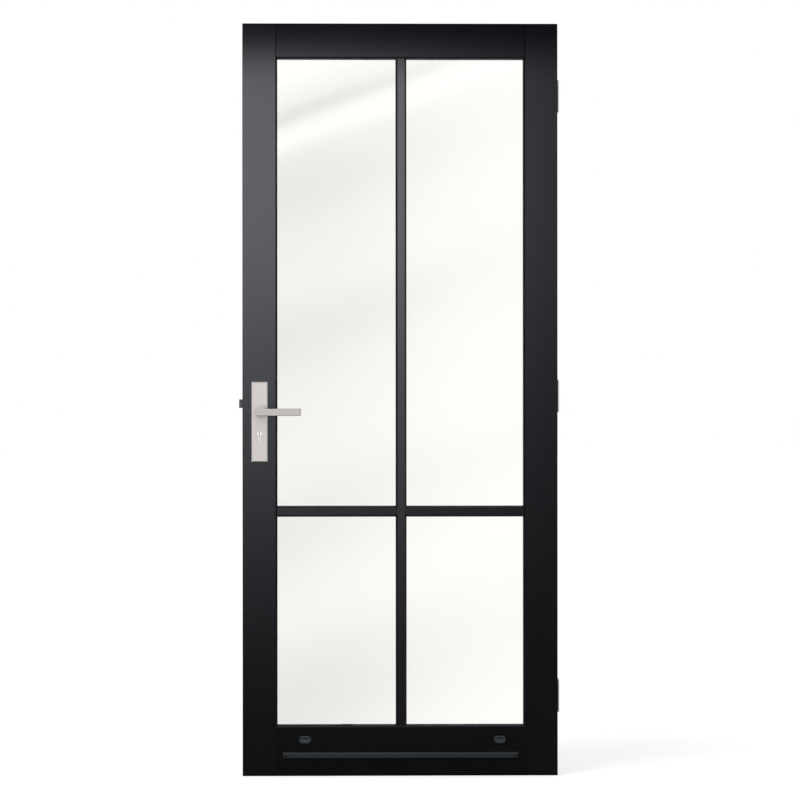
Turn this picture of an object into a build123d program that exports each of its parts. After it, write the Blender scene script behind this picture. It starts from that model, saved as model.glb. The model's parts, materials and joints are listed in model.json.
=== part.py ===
from build123d import *
import os

# A glazed outer door leaf of painted timber, hung to open inwards on three butt hinges, with its handle set
# and mortise lock. The frame is +Z up and +X to the right, seen from outside. The weather face looks along -Y.
# The origin is the middle of the leaf's foot. All lengths are in millimetres and all angles in degrees.

# The leaf and the timber of its frame
leaf_width = 880.0
leaf_height = 2100.0
leaf_thickness = 54.0
lock_stile_width = 96.0
hinge_stile_width = 94.0
top_rail_height = 97.0
bottom_rail_height = 140.0
arris = 1.5
sight_bevel = 4.0
lip_thickness = 13.0
rebate_depth = 18.0
joint_vee = 0.8

# The glue dowels between the rails and the stiles
dowel_radius = 8.0
dowel_reach = 55.0
dowel_y = 4.0
glue_gap = 0.1
top_rail_dowels = 2
bottom_rail_dowels = 3

# The insulating glass, from the outside inwards
outer_seal_thickness = 3.0
pane_thickness = 4.0
cavity = 16.0
inner_seal_thickness = 3.0
glass_edge_gap = 5.0
sealant_width = 5.0
spacer_width = 7.0
spacer_wall = 1.0
seal_show = 1.0
seal_cover = 9.0
block_length = 80.0
block_inset = 160.0
bead_bevel = 3.0
bead_screw_inset = 70.0
upright_bead_screw_count = 7
level_bead_screw_count = 3

# The glazing shim, whose tip shows above the lower sight line
shim_x = -148.6
shim_width = 30.0
shim_show = 3.6
shim_depth = 12.0
shim_grip_width = 10.0
shim_grip_height = 2.0
shim_grip_depth = 1.0

# The glazing bars and the grid that backs them inside the glass
upright_bar_x = 3.0
cross_bar_z = 738.0
bar_base = 30.0
bar_face = 20.0
bar_height = 12.0
bar_bevel_depth = 8.0
tape_thickness = 1.0
tape_width = 22.0
grid_width = 24.0
grid_clearance = 0.5

# The drains of the glazing rebate and their caps
left_drain_inset = 78.0
right_drain_inset = 68.0
drain_z = 101.0
drain_slot_length = 22.0
drain_slot_height = 8.0
drain_slot_depth = 24.0
cap_length = 33.0
cap_height = 20.0
cap_thickness = 4.0
cap_rim = 3.0
cap_spigot = 9.0
cap_wall = 1.2
cap_edge = 1.0
cap_ramp_foot = 0.6
cap_ramp_head = 3.0
cap_mouth_inset = 4.0
cap_mouth_height = 2.4

# The weather bar across the foot of the door
weather_bar_inset = 17.0
weather_bar_foot = 51.4
weather_bar_height = 14.6
weather_bar_reach = 13.0
weather_bar_slope = 5.0
weather_bar_wall = 1.8
weather_cap_length = 14.0

# The handle set
backset = 48.0
spindle_z = 1015.0
cylinder_drop = 61.0
plate_width = 45.0
plate_thickness = 8.0
plate_bevel = 2.5
plate_screw_gap = 7.0
plate_screw_inset = 12.0
post_radius = 4.0
post_reach = 12.0
lever_section = 20.0
lever_depth = 14.0
lever_length = 124.0
lever_reach = 56.0
lever_edge = 1.0
lever_shank_radius = 8.0
bush_radius = 10.0
spindle_side = 8.0
spindle_reach = 54.0
spindle_end_bevel = 1.0
spindle_end_gap = 1.0
grub_radius = 2.5
grub_inset = 1.0
bush_room = 2.0
cylinder_room = 1.0
post_room = 1.0
plate_profile_gap = 0.2
plate_screw_grip = 2.0

# The mortise lock
faceplate_end = 24.5
faceplate_width = 24.0
faceplate_thickness = 3.0
case_below_cylinder = 59.0
case_above_latch = 42.0
case_thickness = 17.0
case_depth = 69.0
case_wall = 1.5
mortise_gap = 0.5
case_profile_gap = 0.4
follower_radius = 11.0
follower_journal = 9.0
follower_arm = 17.0
follower_arm_width = 6.0
spring_arm = 17.0
spring_arm_width = 5.0
follower_thickness = 8.0
latch_rise = 24.0
latch_throw = 10.0
latch_head_height = 24.0
latch_head_thickness = 13.0
latch_head_length = 18.0
latch_tail_height = 10.0
latch_tail_thickness = 7.0
latch_lug_width = 4.0
latch_lug_gap = 1.0
latch_lug_rise = 0.5
latch_land = 4.0
latch_lead = 0.5
latch_guide_offset = 16.0
latch_horn_offset = 4.0
latch_horn_rise = 10.0
dead_bolt_gap = 1.7
dead_bolt_height = 29.0
dead_bolt_thickness = 12.0
dead_bolt_head = 25.0
dead_bolt_throw = 20.0
dead_bolt_tail = 30.5
dead_tail_height = 21.0
dead_guide_inset = 5.0
bolt_bevel = 0.6
guide_radius = 2.5
latch_guide_radius = 2.0
spring_strip = 0.8
spring_width = 6.0
spring_shelf_drop = 4.8
spring_shelf_reach = 14.0
spring_shelf_thickness = 2.0
spring_bend = 5.0
spring_play = 0.2
hairpin_half_width = 6.0
hairpin_top_gap = 2.5
hairpin_bend = 4.0
bow_overlap = 4.0
bow_slope = 8.0
bow_back_gap = 3.0

# The profile cylinder
cylinder_radius = 8.5
cylinder_web = 10.0
cylinder_height = 33.0
cylinder_proud = 2.0
plug_radius = 6.5
plug_proud = 0.4
cam_radius = 8.3
cam_nose_radius = 15.3
cam_nose_width = 8.0
cam_thickness = 10.0
cam_rest_angle = 30.0
cam_slot_gap = 0.2
cam_slot_side = 1.0
cam_nose_gap = 0.5
plug_bevel = 0.6
key_slot_width = 2.4
key_slot_height = 8.6
key_slot_depth = 26.0

# The butt hinges
top_hinge_drop = 200.0
bottom_hinge_rise = 220.0
hinge_height = 89.0
flap_width = 44.5
flap_thickness = 3.0
jamb_gap = 2.5
pin_stand_off = 7.5
knuckle_radius = 6.0
knuckle_count = 5
knuckle_gap = 0.3
pin_radius = 3.5
pin_head = 2.5
pin_head_bevel = 1.0
inner_hole_y = 18.0
inner_hole_rise = 32.0
outer_hole_y = 1.0
outer_hole_rise = 12.0

# Screws and fits
screw_radius = 2.5
screw_head_radius = 4.6
screw_head_land = 0.4
screw_hole_gap = 0.1
jamb_hole_gap = 0.3
hinge_screw_length = 40.0
small_screw_radius = 1.75
small_screw_head_radius = 3.3
small_screw_length = 36.0
faceplate_screw_length = 30.0
weather_screw_length = 24.0
running_gap = 0.05
slide_gap = 0.2
turning_gap = 0.3
snug_gap = 0.1

# Planes and lines that the pieces share
face_out = -leaf_thickness / 2
face_in = leaf_thickness / 2
lip_back = face_out + lip_thickness
glass_out = lip_back + outer_seal_thickness
cavity_out = glass_out + pane_thickness
cavity_in = cavity_out + cavity
glass_in = cavity_in + pane_thickness
bead_out = glass_in + inner_seal_thickness
edge_left = -leaf_width / 2
edge_right = leaf_width / 2
sight_left = edge_left + lock_stile_width
sight_right = edge_right - hinge_stile_width
sight_low = bottom_rail_height
sight_high = leaf_height - top_rail_height
glass_cover = rebate_depth - glass_edge_gap
lock_x = edge_left + backset
cylinder_z = spindle_z - cylinder_drop
plate_out = face_out - plate_thickness
plate_in = face_in + plate_thickness
case_front = edge_left + faceplate_thickness
case_back = case_front + case_depth
case_foot = cylinder_z - case_below_cylinder
latch_z = spindle_z + latch_rise
case_top = latch_z + case_above_latch
case_height = case_top - case_foot
faceplate_height = case_height + 2 * faceplate_end
dead_bolt_z = cylinder_z + cam_nose_radius + dead_bolt_gap + dead_bolt_height / 2
plate_foot = case_foot - plate_screw_gap - plate_screw_inset
plate_top = case_top + plate_screw_gap + plate_screw_inset
weather_bar_left = sight_left + weather_bar_inset
weather_bar_right = sight_right - weather_bar_inset
drain_cap_xs = (sight_left + left_drain_inset, sight_right - right_drain_inset)
hinges = {
    "top": leaf_height - top_hinge_drop,
    "middle": (leaf_height - top_hinge_drop + bottom_hinge_rise) / 2,
    "bottom": bottom_hinge_rise,
}
inner_half = case_thickness / 2 - case_wall
pin_x = edge_right + jamb_gap / 2
pin_y = face_in + pin_stand_off


def block(x0, x1, y0, y1, z0, z1):
    """A square-edged block between two corners."""
    return Pos((x0 + x1) / 2, (y0 + y1) / 2, (z0 + z1) / 2) * Box(abs(x1 - x0), abs(y1 - y0), abs(z1 - z0))


def rod_x(y, z, x0, x1, radius):
    """A round bar along X."""
    return Pos((x0 + x1) / 2, y, z) * Rot(Y=90) * Cylinder(radius, abs(x1 - x0))


def rod_y(x, z, y0, y1, radius):
    """A round bar along Y."""
    return Pos(x, (y0 + y1) / 2, z) * Rot(X=90) * Cylinder(radius, abs(y1 - y0))


def rod_z(x, y, z0, z1, radius):
    """A round bar along Z."""
    return Pos(x, y, (z0 + z1) / 2) * Cylinder(radius, abs(z1 - z0))


def along_x(points, x0, x1):
    """A section of (y, z) points run from x0 to x1."""
    face = Plane.YZ.offset(x0) * Polygon(*points, align=None)
    return extrude(face, amount=x1 - x0, dir=(1, 0, 0))


def along_y(points, y0, y1):
    """A section of (x, z) points run from y0 to y1."""
    face = Plane.XZ.offset(-y0) * Polygon(*points, align=None)
    return extrude(face, amount=y1 - y0, dir=(0, 1, 0))


def along_z(points, z0, z1):
    """A section of (x, y) points run from z0 to z1."""
    face = Plane.XY.offset(z0) * Polygon(*points, align=None)
    return extrude(face, amount=z1 - z0, dir=(0, 0, 1))


def sketch_along_y(sketch, x, z, y0, y1):
    """A sketch drawn about the origin, set at (x, z) and run from y0 to y1."""
    face = Plane((x, y0, z), x_dir=(1, 0, 0), z_dir=(0, -1, 0)) * sketch
    return extrude(face, amount=y1 - y0, dir=(0, 1, 0))


def picture_frame(grow_out, grow_in, y0, y1):
    """A ring round the sight lines, between two distances outside them."""

    def filled(grow):
        return block(sight_left - grow, sight_right + grow, y0, y1, sight_low - grow, sight_high + grow)

    return filled(grow_out) - filled(grow_in)


def turned(profile, place):
    """A profile of (radius, depth) points turned about its own axis, then put in place."""
    face = Plane.XZ * Polygon(*profile, align=None)
    return place * revolve(face, Axis.Z, 360)


def screw(place, radius, head_radius, length, gap=0.0):
    """A countersunk screw, or with a gap the hole for one. Its head's face is at the origin, its tip down -Z."""
    cone = head_radius - radius
    tip = radius if gap == 0.0 else 0.0
    profile = [
        (0, gap),
        (head_radius + gap, gap),
        (head_radius + gap, -screw_head_land),
        (radius + gap, -screw_head_land - cone),
        (radius + gap, -length + tip),
        (0, -length - gap),
    ]
    return turned(profile, place)


# The four timbers


def timber_section(width, corner):
    """The timbers' section, in (distance from the outer edge, y), with its bevelled lip and glazing rebate."""
    return [
        (0, face_out + corner),
        (corner, face_out),
        (width - sight_bevel, face_out),
        (width, face_out + sight_bevel),
        (width, lip_back),
        (width - rebate_depth, lip_back),
        (width - rebate_depth, face_in),
        (corner, face_in),
        (0, face_in - corner),
    ]


def spread(low, high, count):
    """Evenly spaced places between two ends, with half a space at each end."""
    step = (high - low) / count
    return [low + step * (number + 0.5) for number in range(count)]


def dowel_places():
    """The (x, z) of each glue dowel, at the shoulder that it crosses."""
    top = spread(sight_high + rebate_depth, leaf_height, top_rail_dowels)
    bottom = spread(0, sight_low - rebate_depth, bottom_rail_dowels)
    shoulders = (sight_left - rebate_depth, sight_right + rebate_depth)
    return [(x, z) for x in shoulders for z in top + bottom]


def dowel(x, z, gap=0.0):
    return rod_x(dowel_y, z, x - dowel_reach - gap, x + dowel_reach + gap, dowel_radius + gap)


def dowel_holes():
    return [dowel(x, z, glue_gap) for x, z in dowel_places()]


def make_lock_stile():
    section = [(edge_left + u, y) for u, y in timber_section(lock_stile_width, arris)]
    stile = along_z(section, 0, leaf_height)
    return stile - dowel_holes() - lock_mortise() - handle_holes() - bead_screw_holes()


def make_hinge_stile():
    section = [(edge_right - u, y) for u, y in timber_section(hinge_stile_width, arris)]
    stile = along_z(section, 0, leaf_height)
    pockets = [hinge_pocket(z) for z in hinges.values()]
    holes = [leaf_screw(y, z, screw_hole_gap) for y, z in leaf_screw_places()]
    return stile - dowel_holes() - pockets - holes - bead_screw_holes()


def rail_blank(outer_z, inwards, height):
    """A rail before its ends are scribed: outer_z is its outer edge, and inwards is 1 or -1."""
    section = [(y, outer_z + inwards * v) for v, y in timber_section(height, 0)]
    return along_x(section, sight_left - rebate_depth, sight_right + rebate_depth)


def scribed(rail, z0, z1):
    """A rail with its ends cut to the stiles' profile and eased where the joint shows."""
    left = along_z([(edge_left + u, y) for u, y in timber_section(lock_stile_width, arris)], z0, z1)
    right = along_z([(edge_right - u, y) for u, y in timber_section(hinge_stile_width, arris)], z0, z1)
    vees = []
    for x in (sight_left - sight_bevel, sight_right + sight_bevel):
        vees.append(vee_groove(x, face_out, joint_vee, z0, z1))
    for x in (sight_left - rebate_depth, sight_right + rebate_depth):
        vees.append(vee_groove(x, face_in, -joint_vee, z0, z1))
    return rail - left - right - vees


def vee_groove(x, y, depth, z0, z1):
    return along_z([(x - abs(depth), y), (x, y + depth), (x + abs(depth), y)], z0, z1)


def make_top_rail():
    rail = scribed(rail_blank(leaf_height, -1, top_rail_height), sight_high, leaf_height)
    return rail - dowel_holes() - bead_screw_holes()


def make_bottom_rail():
    rail = scribed(rail_blank(0, 1, bottom_rail_height), 0, sight_low)
    drains = [drain_path(x) for x in drain_cap_xs]
    screws = [weather_screw(x, screw_hole_gap) for x in weather_screw_xs()]
    return rail - dowel_holes() - bead_screw_holes() - drains - screws


# The insulating glass


def make_pane(y0):
    return block(
        sight_left - glass_cover,
        sight_right + glass_cover,
        y0,
        y0 + pane_thickness,
        sight_low - glass_cover,
        sight_high + glass_cover,
    )


def make_edge_sealant():
    return picture_frame(glass_cover, glass_cover - sealant_width, cavity_out, cavity_in)


def make_spacer_frame():
    outer = glass_cover - sealant_width
    tube = picture_frame(outer, outer - spacer_width, cavity_out, cavity_in)
    inner = outer - spacer_width
    bore_out = cavity_out + spacer_wall
    bore_in = cavity_in - spacer_wall
    return tube - picture_frame(outer - spacer_wall, inner + spacer_wall, bore_out, bore_in)


def make_spacer_grid():
    """The cross of flat tube between the panes, which gives the bars their depth when seen from the side."""
    y0 = cavity_out + grid_clearance
    y1 = cavity_in - grid_clearance
    reach = glass_cover - sealant_width - spacer_width
    half = grid_width / 2
    left = sight_left - reach
    right = sight_right + reach
    low = sight_low - reach
    high = sight_high + reach
    upright = block(upright_bar_x - half, upright_bar_x + half, y0, y1, low, high)
    level = block(left, right, y0, y1, cross_bar_z - half, cross_bar_z + half)
    inner = half - spacer_wall
    bore_out = y0 + spacer_wall
    bore_in = y1 - spacer_wall
    upright_bore = block(upright_bar_x - inner, upright_bar_x + inner, bore_out, bore_in, low, high)
    level_bore = block(left, right, bore_out, bore_in, cross_bar_z - inner, cross_bar_z + inner)
    return upright + level - upright_bore - level_bore


def shim_body(gap=0.0):
    half = shim_width / 2 + gap
    low = sight_low - shim_depth - gap
    high = sight_low + shim_show + gap
    return block(shim_x - half, shim_x + half, lip_back, glass_out, low, high)


def make_glazing_shim():
    half = shim_grip_width / 2
    top = sight_low + shim_show
    grip = block(shim_x - half, shim_x + half, lip_back, lip_back + shim_grip_depth, top - shim_grip_height, top)
    return shim_body() - grip


def make_outer_glazing_seal():
    return picture_frame(seal_cover, -seal_show, lip_back, glass_out) - shim_body(snug_gap)


def make_inner_glazing_seal():
    return picture_frame(seal_cover, -seal_show, glass_in, bead_out)


def make_setting_blocks():
    """Packers between the glass edge and the rebate: under it, at its sides and over it."""
    half = block_length / 2
    left = sight_left - rebate_depth
    right = sight_right + rebate_depth
    low = sight_low - rebate_depth
    high = sight_high + rebate_depth
    blocks = []
    for x in (left + block_inset, right - block_inset):
        blocks.append(block(x - half, x + half, glass_out, glass_in, low, low + glass_edge_gap))
        blocks.append(block(x - half, x + half, glass_out, glass_in, high - glass_edge_gap, high))
    for z in (low + block_inset, high - block_inset):
        blocks.append(block(left, left + glass_edge_gap, glass_out, glass_in, z - half, z + half))
        blocks.append(block(right - glass_edge_gap, right, glass_out, glass_in, z - half, z + half))
    return blocks


# The inside glazing beads


def bead_section():
    """(distance from the rebate's floor, y) of a bead, bevelled at its sight edge."""
    return [
        (0, bead_out),
        (rebate_depth, bead_out),
        (rebate_depth, face_in - bead_bevel),
        (rebate_depth - bead_bevel, face_in),
        (0, face_in),
    ]


def bead_screw_places():
    """Each bead screw's place on the sight edge, with the angle that points it into the timber."""
    y = (bead_out + face_in - bead_bevel) / 2
    places = []
    low, high = sight_low + bead_screw_inset, sight_high - bead_screw_inset
    left, right = sight_left + bead_screw_inset, sight_right - bead_screw_inset
    for z in spread_ends(low, high, upright_bead_screw_count):
        places.append(Pos(sight_left, y, z) * Rot(Y=90))
        places.append(Pos(sight_right, y, z) * Rot(Y=-90))
    for x in spread_ends(left, right, level_bead_screw_count):
        places.append(Pos(x, y, sight_high) * Rot(Y=180))
        places.append(Pos(x, y, sight_low))
    return places


def spread_ends(low, high, count):
    """Evenly spaced places, with one at each end."""
    return [low + (high - low) * number / (count - 1) for number in range(count)]


def bead_screw(place, gap=0.0):
    return screw(place, small_screw_radius, small_screw_head_radius, small_screw_length, gap)


def make_bead_screws():
    return [bead_screw(place) for place in bead_screw_places()]


def bead_screw_holes():
    return [bead_screw(place, screw_hole_gap) for place in bead_screw_places()]


def mitre(ends_low, ends_high, foot, inwards, axis):
    """The trapezium that a bead is mitred to, run through the door's thickness."""
    tip = foot + inwards * rebate_depth
    outline = [
        (ends_low, foot),
        (ends_high, foot),
        (ends_high - rebate_depth, tip),
        (ends_low + rebate_depth, tip),
    ]
    if axis == "z":
        outline = [(x, z) for z, x in outline]
    return along_y(outline, bead_out, face_in)


def make_level_bead(foot, inwards):
    left = sight_left - rebate_depth
    right = sight_right + rebate_depth
    bead = along_x([(y, foot + inwards * u) for u, y in bead_section()], left, right)
    return (bead & mitre(left, right, foot, inwards, "x")) - bead_screw_holes()


def make_upright_bead(foot, inwards):
    low = sight_low - rebate_depth
    high = sight_high + rebate_depth
    bead = along_z([(foot + inwards * u, y) for u, y in bead_section()], low, high)
    return (bead & mitre(low, high, foot, inwards, "z")) - bead_screw_holes()


# The glazing bars


def bar_section(base_y, outwards):
    """(distance from the bar's middle, y) of a glazing bar that stands on base_y."""
    shoulder = base_y + outwards * (bar_height - bar_bevel_depth)
    crown = base_y + outwards * bar_height
    return [
        (-bar_base / 2, base_y),
        (-bar_base / 2, shoulder),
        (-bar_face / 2, crown),
        (bar_face / 2, crown),
        (bar_base / 2, shoulder),
        (bar_base / 2, base_y),
    ]


def bar_foot(outwards):
    """The plane that the bars stand on, outside or inside."""
    return glass_out - tape_thickness if outwards < 0 else glass_in + tape_thickness


def seal_strip(outwards):
    """The part of the seal that the bars' ends are notched round."""
    if outwards < 0:
        return picture_frame(seal_cover, -seal_show, lip_back, glass_out)
    return picture_frame(seal_cover, -seal_show, glass_in, bead_out)


def make_upright_bar(outwards):
    section = [(upright_bar_x + u, y) for u, y in bar_section(bar_foot(outwards), outwards)]
    return along_z(section, sight_low, sight_high) - seal_strip(outwards)


def make_level_bar(x0, x1, outwards):
    """A bar between the sight line and the upright, scribed over the upright's bevel."""
    section = [(y, cross_bar_z + u) for u, y in bar_section(bar_foot(outwards), outwards)]
    upright = [(upright_bar_x + u, y) for u, y in bar_section(bar_foot(outwards), outwards)]
    crossing = along_z(upright, cross_bar_z - bar_base, cross_bar_z + bar_base)
    return along_x(section, x0, x1) - crossing - seal_strip(outwards)


def make_bar_tapes():
    """Strips of black tape that hold the bars to the glass, three on each side."""
    half = tape_width / 2
    tapes = []
    for outwards in (-1, 1):
        y0, y1 = sorted((bar_foot(outwards), bar_foot(outwards) - outwards * tape_thickness))
        left = sight_left + seal_show
        right = sight_right - seal_show
        low = sight_low + seal_show
        high = sight_high - seal_show
        tapes.append(block(upright_bar_x - half, upright_bar_x + half, y0, y1, low, high))
        tapes.append(block(left, upright_bar_x - half, y0, y1, cross_bar_z - half, cross_bar_z + half))
        tapes.append(block(upright_bar_x + half, right, y0, y1, cross_bar_z - half, cross_bar_z + half))
    return tapes


# The drains and the weather bar


def drain_path(x):
    """The slot in from the weather face and the one up to the rebate's floor."""
    level = sketch_along_y(
        SlotOverall(drain_slot_length, drain_slot_height), x, drain_z, face_out, face_out + drain_slot_depth
    )
    back = face_out + drain_slot_depth
    half = drain_slot_length / 2 - drain_slot_height / 2
    rise = block(x - half, x + half, back - drain_slot_height, back, drain_z, sight_low - rebate_depth)
    return level + rise


def make_drain_cap(x):
    """A hooded cap: a stadium with a rim, a dark mouth at the top, a ramp below it and a spigot that fills the slot."""
    front = face_out - cap_thickness
    shell = sketch_along_y(SlotOverall(cap_length, cap_height), x, drain_z, front, face_out)
    rim_edges = shell.edges().filter_by(Plane.XZ).group_by(Axis.Y)[0]
    shell = chamfer(rim_edges, cap_edge)
    well_length = cap_length - 2 * cap_rim
    well_height = cap_height - 2 * cap_rim
    well = sketch_along_y(SlotOverall(well_length, well_height), x, drain_z, front, face_out)
    ramp_top = drain_z + well_height / 2 - cap_mouth_inset
    foot = drain_z - well_height / 2
    ramp = along_x(
        [
            (front + cap_ramp_foot, foot),
            (front + cap_ramp_head, ramp_top),
            (face_out, ramp_top),
            (face_out, foot),
        ],
        x - well_length / 2,
        x + well_length / 2,
    )
    ramp = ramp & well
    outer = sketch_along_y(
        SlotOverall(drain_slot_length - 2 * snug_gap, drain_slot_height - 2 * snug_gap),
        x,
        drain_z,
        face_out,
        face_out + cap_spigot,
    )
    half = cap_bore_length() / 2
    mouth = block(x - half, x + half, front, face_out, ramp_top, ramp_top + cap_mouth_height)
    spigot = outer - cap_bore(x, front, face_out + cap_spigot)
    return shell - well + ramp + spigot + cap_web(x, well_length, well_height) - mouth


def cap_bore_length():
    return drain_slot_length - 2 * snug_gap - 2 * cap_wall


def cap_bore(x, y0, y1):
    """The waterway through a cap's back and spigot."""
    bore_height = drain_slot_height - 2 * snug_gap - 2 * cap_wall
    return sketch_along_y(SlotOverall(cap_bore_length(), bore_height), x, drain_z, y0, y1)


def cap_web(x, length, height):
    """The thin back of the cap's well, which carries the spigot."""
    web = sketch_along_y(SlotOverall(length, height), x, drain_z, face_out - cap_wall, face_out)
    return web - cap_bore(x, face_out - cap_wall, face_out)


def weather_outline(inset=0.0):
    """(y, z) of the weather bar's outer skin, or of its hollow with an inset."""
    top = weather_bar_foot + weather_bar_height
    front = face_out - weather_bar_reach
    foot = weather_bar_foot if inset == 0.0 else weather_bar_foot - weather_bar_wall
    drop = inset * (1 + (weather_bar_slope / weather_bar_reach) ** 2) ** 0.5
    return [
        (face_out - inset, foot),
        (face_out - inset, top - drop),
        (front + inset, top - weather_bar_slope - drop),
        (front + inset, foot),
    ]


def make_weather_bar():
    left = weather_bar_left + weather_cap_length
    right = weather_bar_right - weather_cap_length
    return along_x(weather_outline(), left, right) - along_x(weather_outline(weather_bar_wall), left, right)


def weather_screw_xs():
    return (weather_bar_left + weather_cap_length / 2, weather_bar_right - weather_cap_length / 2)


def weather_screw(x, gap=0.0):
    z = weather_bar_foot + (weather_bar_height - weather_bar_slope) / 2
    place = Pos(x, face_out - weather_bar_reach, z) * Rot(X=-90) * Rot(X=180)
    return screw(place, small_screw_radius, small_screw_head_radius, weather_screw_length, gap)


def make_weather_bar_caps():
    """Moulded ends with the bar's outline, each with a tongue inside the bar and its own screw."""
    caps = []
    top = weather_bar_foot + weather_bar_height
    for side, outer, screw_x in zip((-1, 1), (weather_bar_left, weather_bar_right), weather_screw_xs()):
        inner = outer - side * weather_cap_length
        x0, x1 = sorted((outer, inner))
        cap = along_x(weather_outline(), x0, x1)
        t0, t1 = sorted((inner, inner - side * weather_cap_length))
        tongue = along_x(weather_outline(weather_bar_wall + snug_gap), t0, t1)
        room = block(t0, t1, face_out - weather_bar_reach, face_out, weather_bar_foot, top)
        caps.append(cap + (tongue & room) - weather_screw(screw_x, screw_hole_gap))
    return caps


# The handle set


def profile_sketch(gap=0.0):
    """The cylinder's outline: a round head over a web with a round foot."""
    drop = cylinder_height - cylinder_radius - cylinder_web / 2
    head = Circle(cylinder_radius + gap)
    web = Pos(0, -drop / 2) * Rectangle(cylinder_web + 2 * gap, drop)
    foot = Pos(0, -drop) * Circle(cylinder_web / 2 + gap)
    return head + web + foot


def plate_screw_zs():
    return (case_foot - plate_screw_gap, case_top + plate_screw_gap)


def handle_holes():
    """The holes through the lock stile for the spindle, the cylinder, the posts and the screws."""
    holes = [rod_y(lock_x, spindle_z, face_out, face_in, bush_radius + bush_room)]
    holes.append(sketch_along_y(profile_sketch(cylinder_room), lock_x, cylinder_z, face_out, face_in))
    for z in plate_screw_zs():
        holes.append(rod_y(lock_x, z, face_out, face_in, screw_radius + screw_hole_gap))
        holes.append(rod_y(lock_x, z, face_out, face_out + post_reach + post_room, post_radius + screw_hole_gap))
    return holes


def make_backplate(outwards):
    """A flat plate with a bevelled rim, bored for the lever's bush and cut to the cylinder's outline."""
    near, far = (face_out, plate_out) if outwards < 0 else (face_in, plate_in)
    half = plate_width / 2
    plate = block(lock_x - half, lock_x + half, near, far, plate_foot, plate_top)
    rim = plate.edges().filter_by(Plane.XZ).group_by(Axis.Y)[0 if outwards < 0 else -1]
    plate = chamfer(rim, plate_bevel)
    plate -= rod_y(lock_x, spindle_z, near, far, bush_radius + snug_gap)
    outline = profile_sketch(plate_profile_gap)
    return plate - sketch_along_y(outline, lock_x, cylinder_z, min(near, far), max(near, far))


def make_outer_backplate():
    plate = make_backplate(-1)
    for z in plate_screw_zs():
        plate += rod_y(lock_x, z, face_out, face_out + post_reach, post_radius)
    return plate - [plate_screw(z, screw_hole_gap) for z in plate_screw_zs()]


def make_inner_backplate():
    return make_backplate(1) - [plate_screw(z, screw_hole_gap) for z in plate_screw_zs()]


def plate_screw(z, gap=0.0):
    """The through screw from the inner plate into the outer plate's post."""
    place = Pos(lock_x, plate_in, z) * Rot(X=-90)
    length = leaf_thickness + plate_thickness + plate_screw_grip
    return screw(place, screw_radius, screw_head_radius, length, gap)


def make_lever(outwards):
    """A mitred square lever cut from one bar, with a turned shank and a square socket."""
    half = lever_section / 2
    base = (plate_out if outwards < 0 else plate_in) + outwards * turning_gap
    tip = (plate_out if outwards < 0 else plate_in) + outwards * lever_reach
    grip = tip - outwards * lever_depth
    left = lock_x - half
    outline = [
        (left, base),
        (left, tip),
        (left + lever_length, tip),
        (left + lever_length, grip),
        (lock_x + half, grip),
        (lock_x + half, base),
    ]
    lever = along_z(outline, spindle_z - half, spindle_z + half)
    soft = lever.edges().filter_by(lambda e: abs(e.center().Y - base) > lever_edge)
    lever = chamfer(soft, lever_edge)
    shank_end = base - outwards * (plate_thickness + turning_gap - snug_gap)
    lever += rod_y(lock_x, spindle_z, base, shank_end, lever_shank_radius)
    socket = spindle_side / 2 + snug_gap
    deep = outwards * (spindle_reach + spindle_end_gap)
    lever -= block(lock_x - socket, lock_x + socket, shank_end, deep, spindle_z - socket, spindle_z + socket)
    return lever - grub_screw(outwards, snug_gap)


def grub_screw(outwards, gap=0.0):
    """A grub screw up through the neck's underside, hard against the spindle."""
    y = (plate_out if outwards < 0 else plate_in) + outwards * lever_section / 2
    foot = spindle_z - lever_section / 2 + (grub_inset if gap == 0.0 else -grub_inset)
    return rod_z(lock_x, y, foot, spindle_z - spindle_side / 2 - snug_gap / 2, grub_radius + gap)


def make_lever_bushes():
    rings = []
    for near, far in ((face_out, plate_out), (face_in, plate_in)):
        ring = rod_y(lock_x, spindle_z, near, far, bush_radius)
        rings.append(ring - rod_y(lock_x, spindle_z, near, far, lever_shank_radius + running_gap))
    return rings


def make_spindle():
    half = spindle_side / 2
    bar = block(lock_x - half, lock_x + half, -spindle_reach, spindle_reach, spindle_z - half, spindle_z + half)
    ends = bar.faces().sort_by(Axis.Y)
    return chamfer(ends[0].edges() + ends[-1].edges(), spindle_end_bevel)


# The mortise lock


def faceplate_blank(x0, x1, gap=0.0):
    middle = case_foot + case_height / 2
    face = Plane((x0, 0, middle), x_dir=(0, 0, 1), z_dir=(1, 0, 0)) * SlotOverall(
        faceplate_height + 2 * gap, faceplate_width + 2 * gap
    )
    return extrude(face, amount=x1 - x0, dir=(1, 0, 0))


def faceplate_screw_zs():
    middle = case_foot + case_height / 2
    rise = faceplate_height / 2 - faceplate_width / 2
    return (middle - rise, middle + rise)


def faceplate_screw(z, gap=0.0):
    place = Pos(edge_left, 0, z) * Rot(Y=-90)
    return screw(place, screw_radius, screw_head_radius, faceplate_screw_length, gap)


def lock_mortise():
    """The room that the lock needs in the lock stile, open at the leaf's edge."""
    half = case_thickness / 2 + mortise_gap
    low, high = case_foot - mortise_gap, case_top + mortise_gap
    room = block(edge_left, case_back + mortise_gap, -half, half, low, high)
    recess = faceplate_blank(edge_left, case_front, snug_gap)
    return [room, recess] + [faceplate_screw(z, screw_hole_gap) for z in faceplate_screw_zs()]


def bolt_windows(gap):
    """The windows that the latch, the dead bolt and the cylinder's screw pass through."""
    latch_half = latch_head_thickness / 2 + gap
    bolt_half = dead_bolt_thickness / 2 + gap
    x0, x1 = edge_left, case_front + case_wall
    latch_rise_half = latch_head_height / 2 + gap
    bolt_rise_half = dead_bolt_height / 2 + gap
    return [
        block(x0, x1, -latch_half, latch_half, latch_z - latch_rise_half, latch_z + latch_rise_half),
        block(x0, x1, -bolt_half, bolt_half, dead_bolt_z - bolt_rise_half, dead_bolt_z + bolt_rise_half),
    ]


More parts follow.
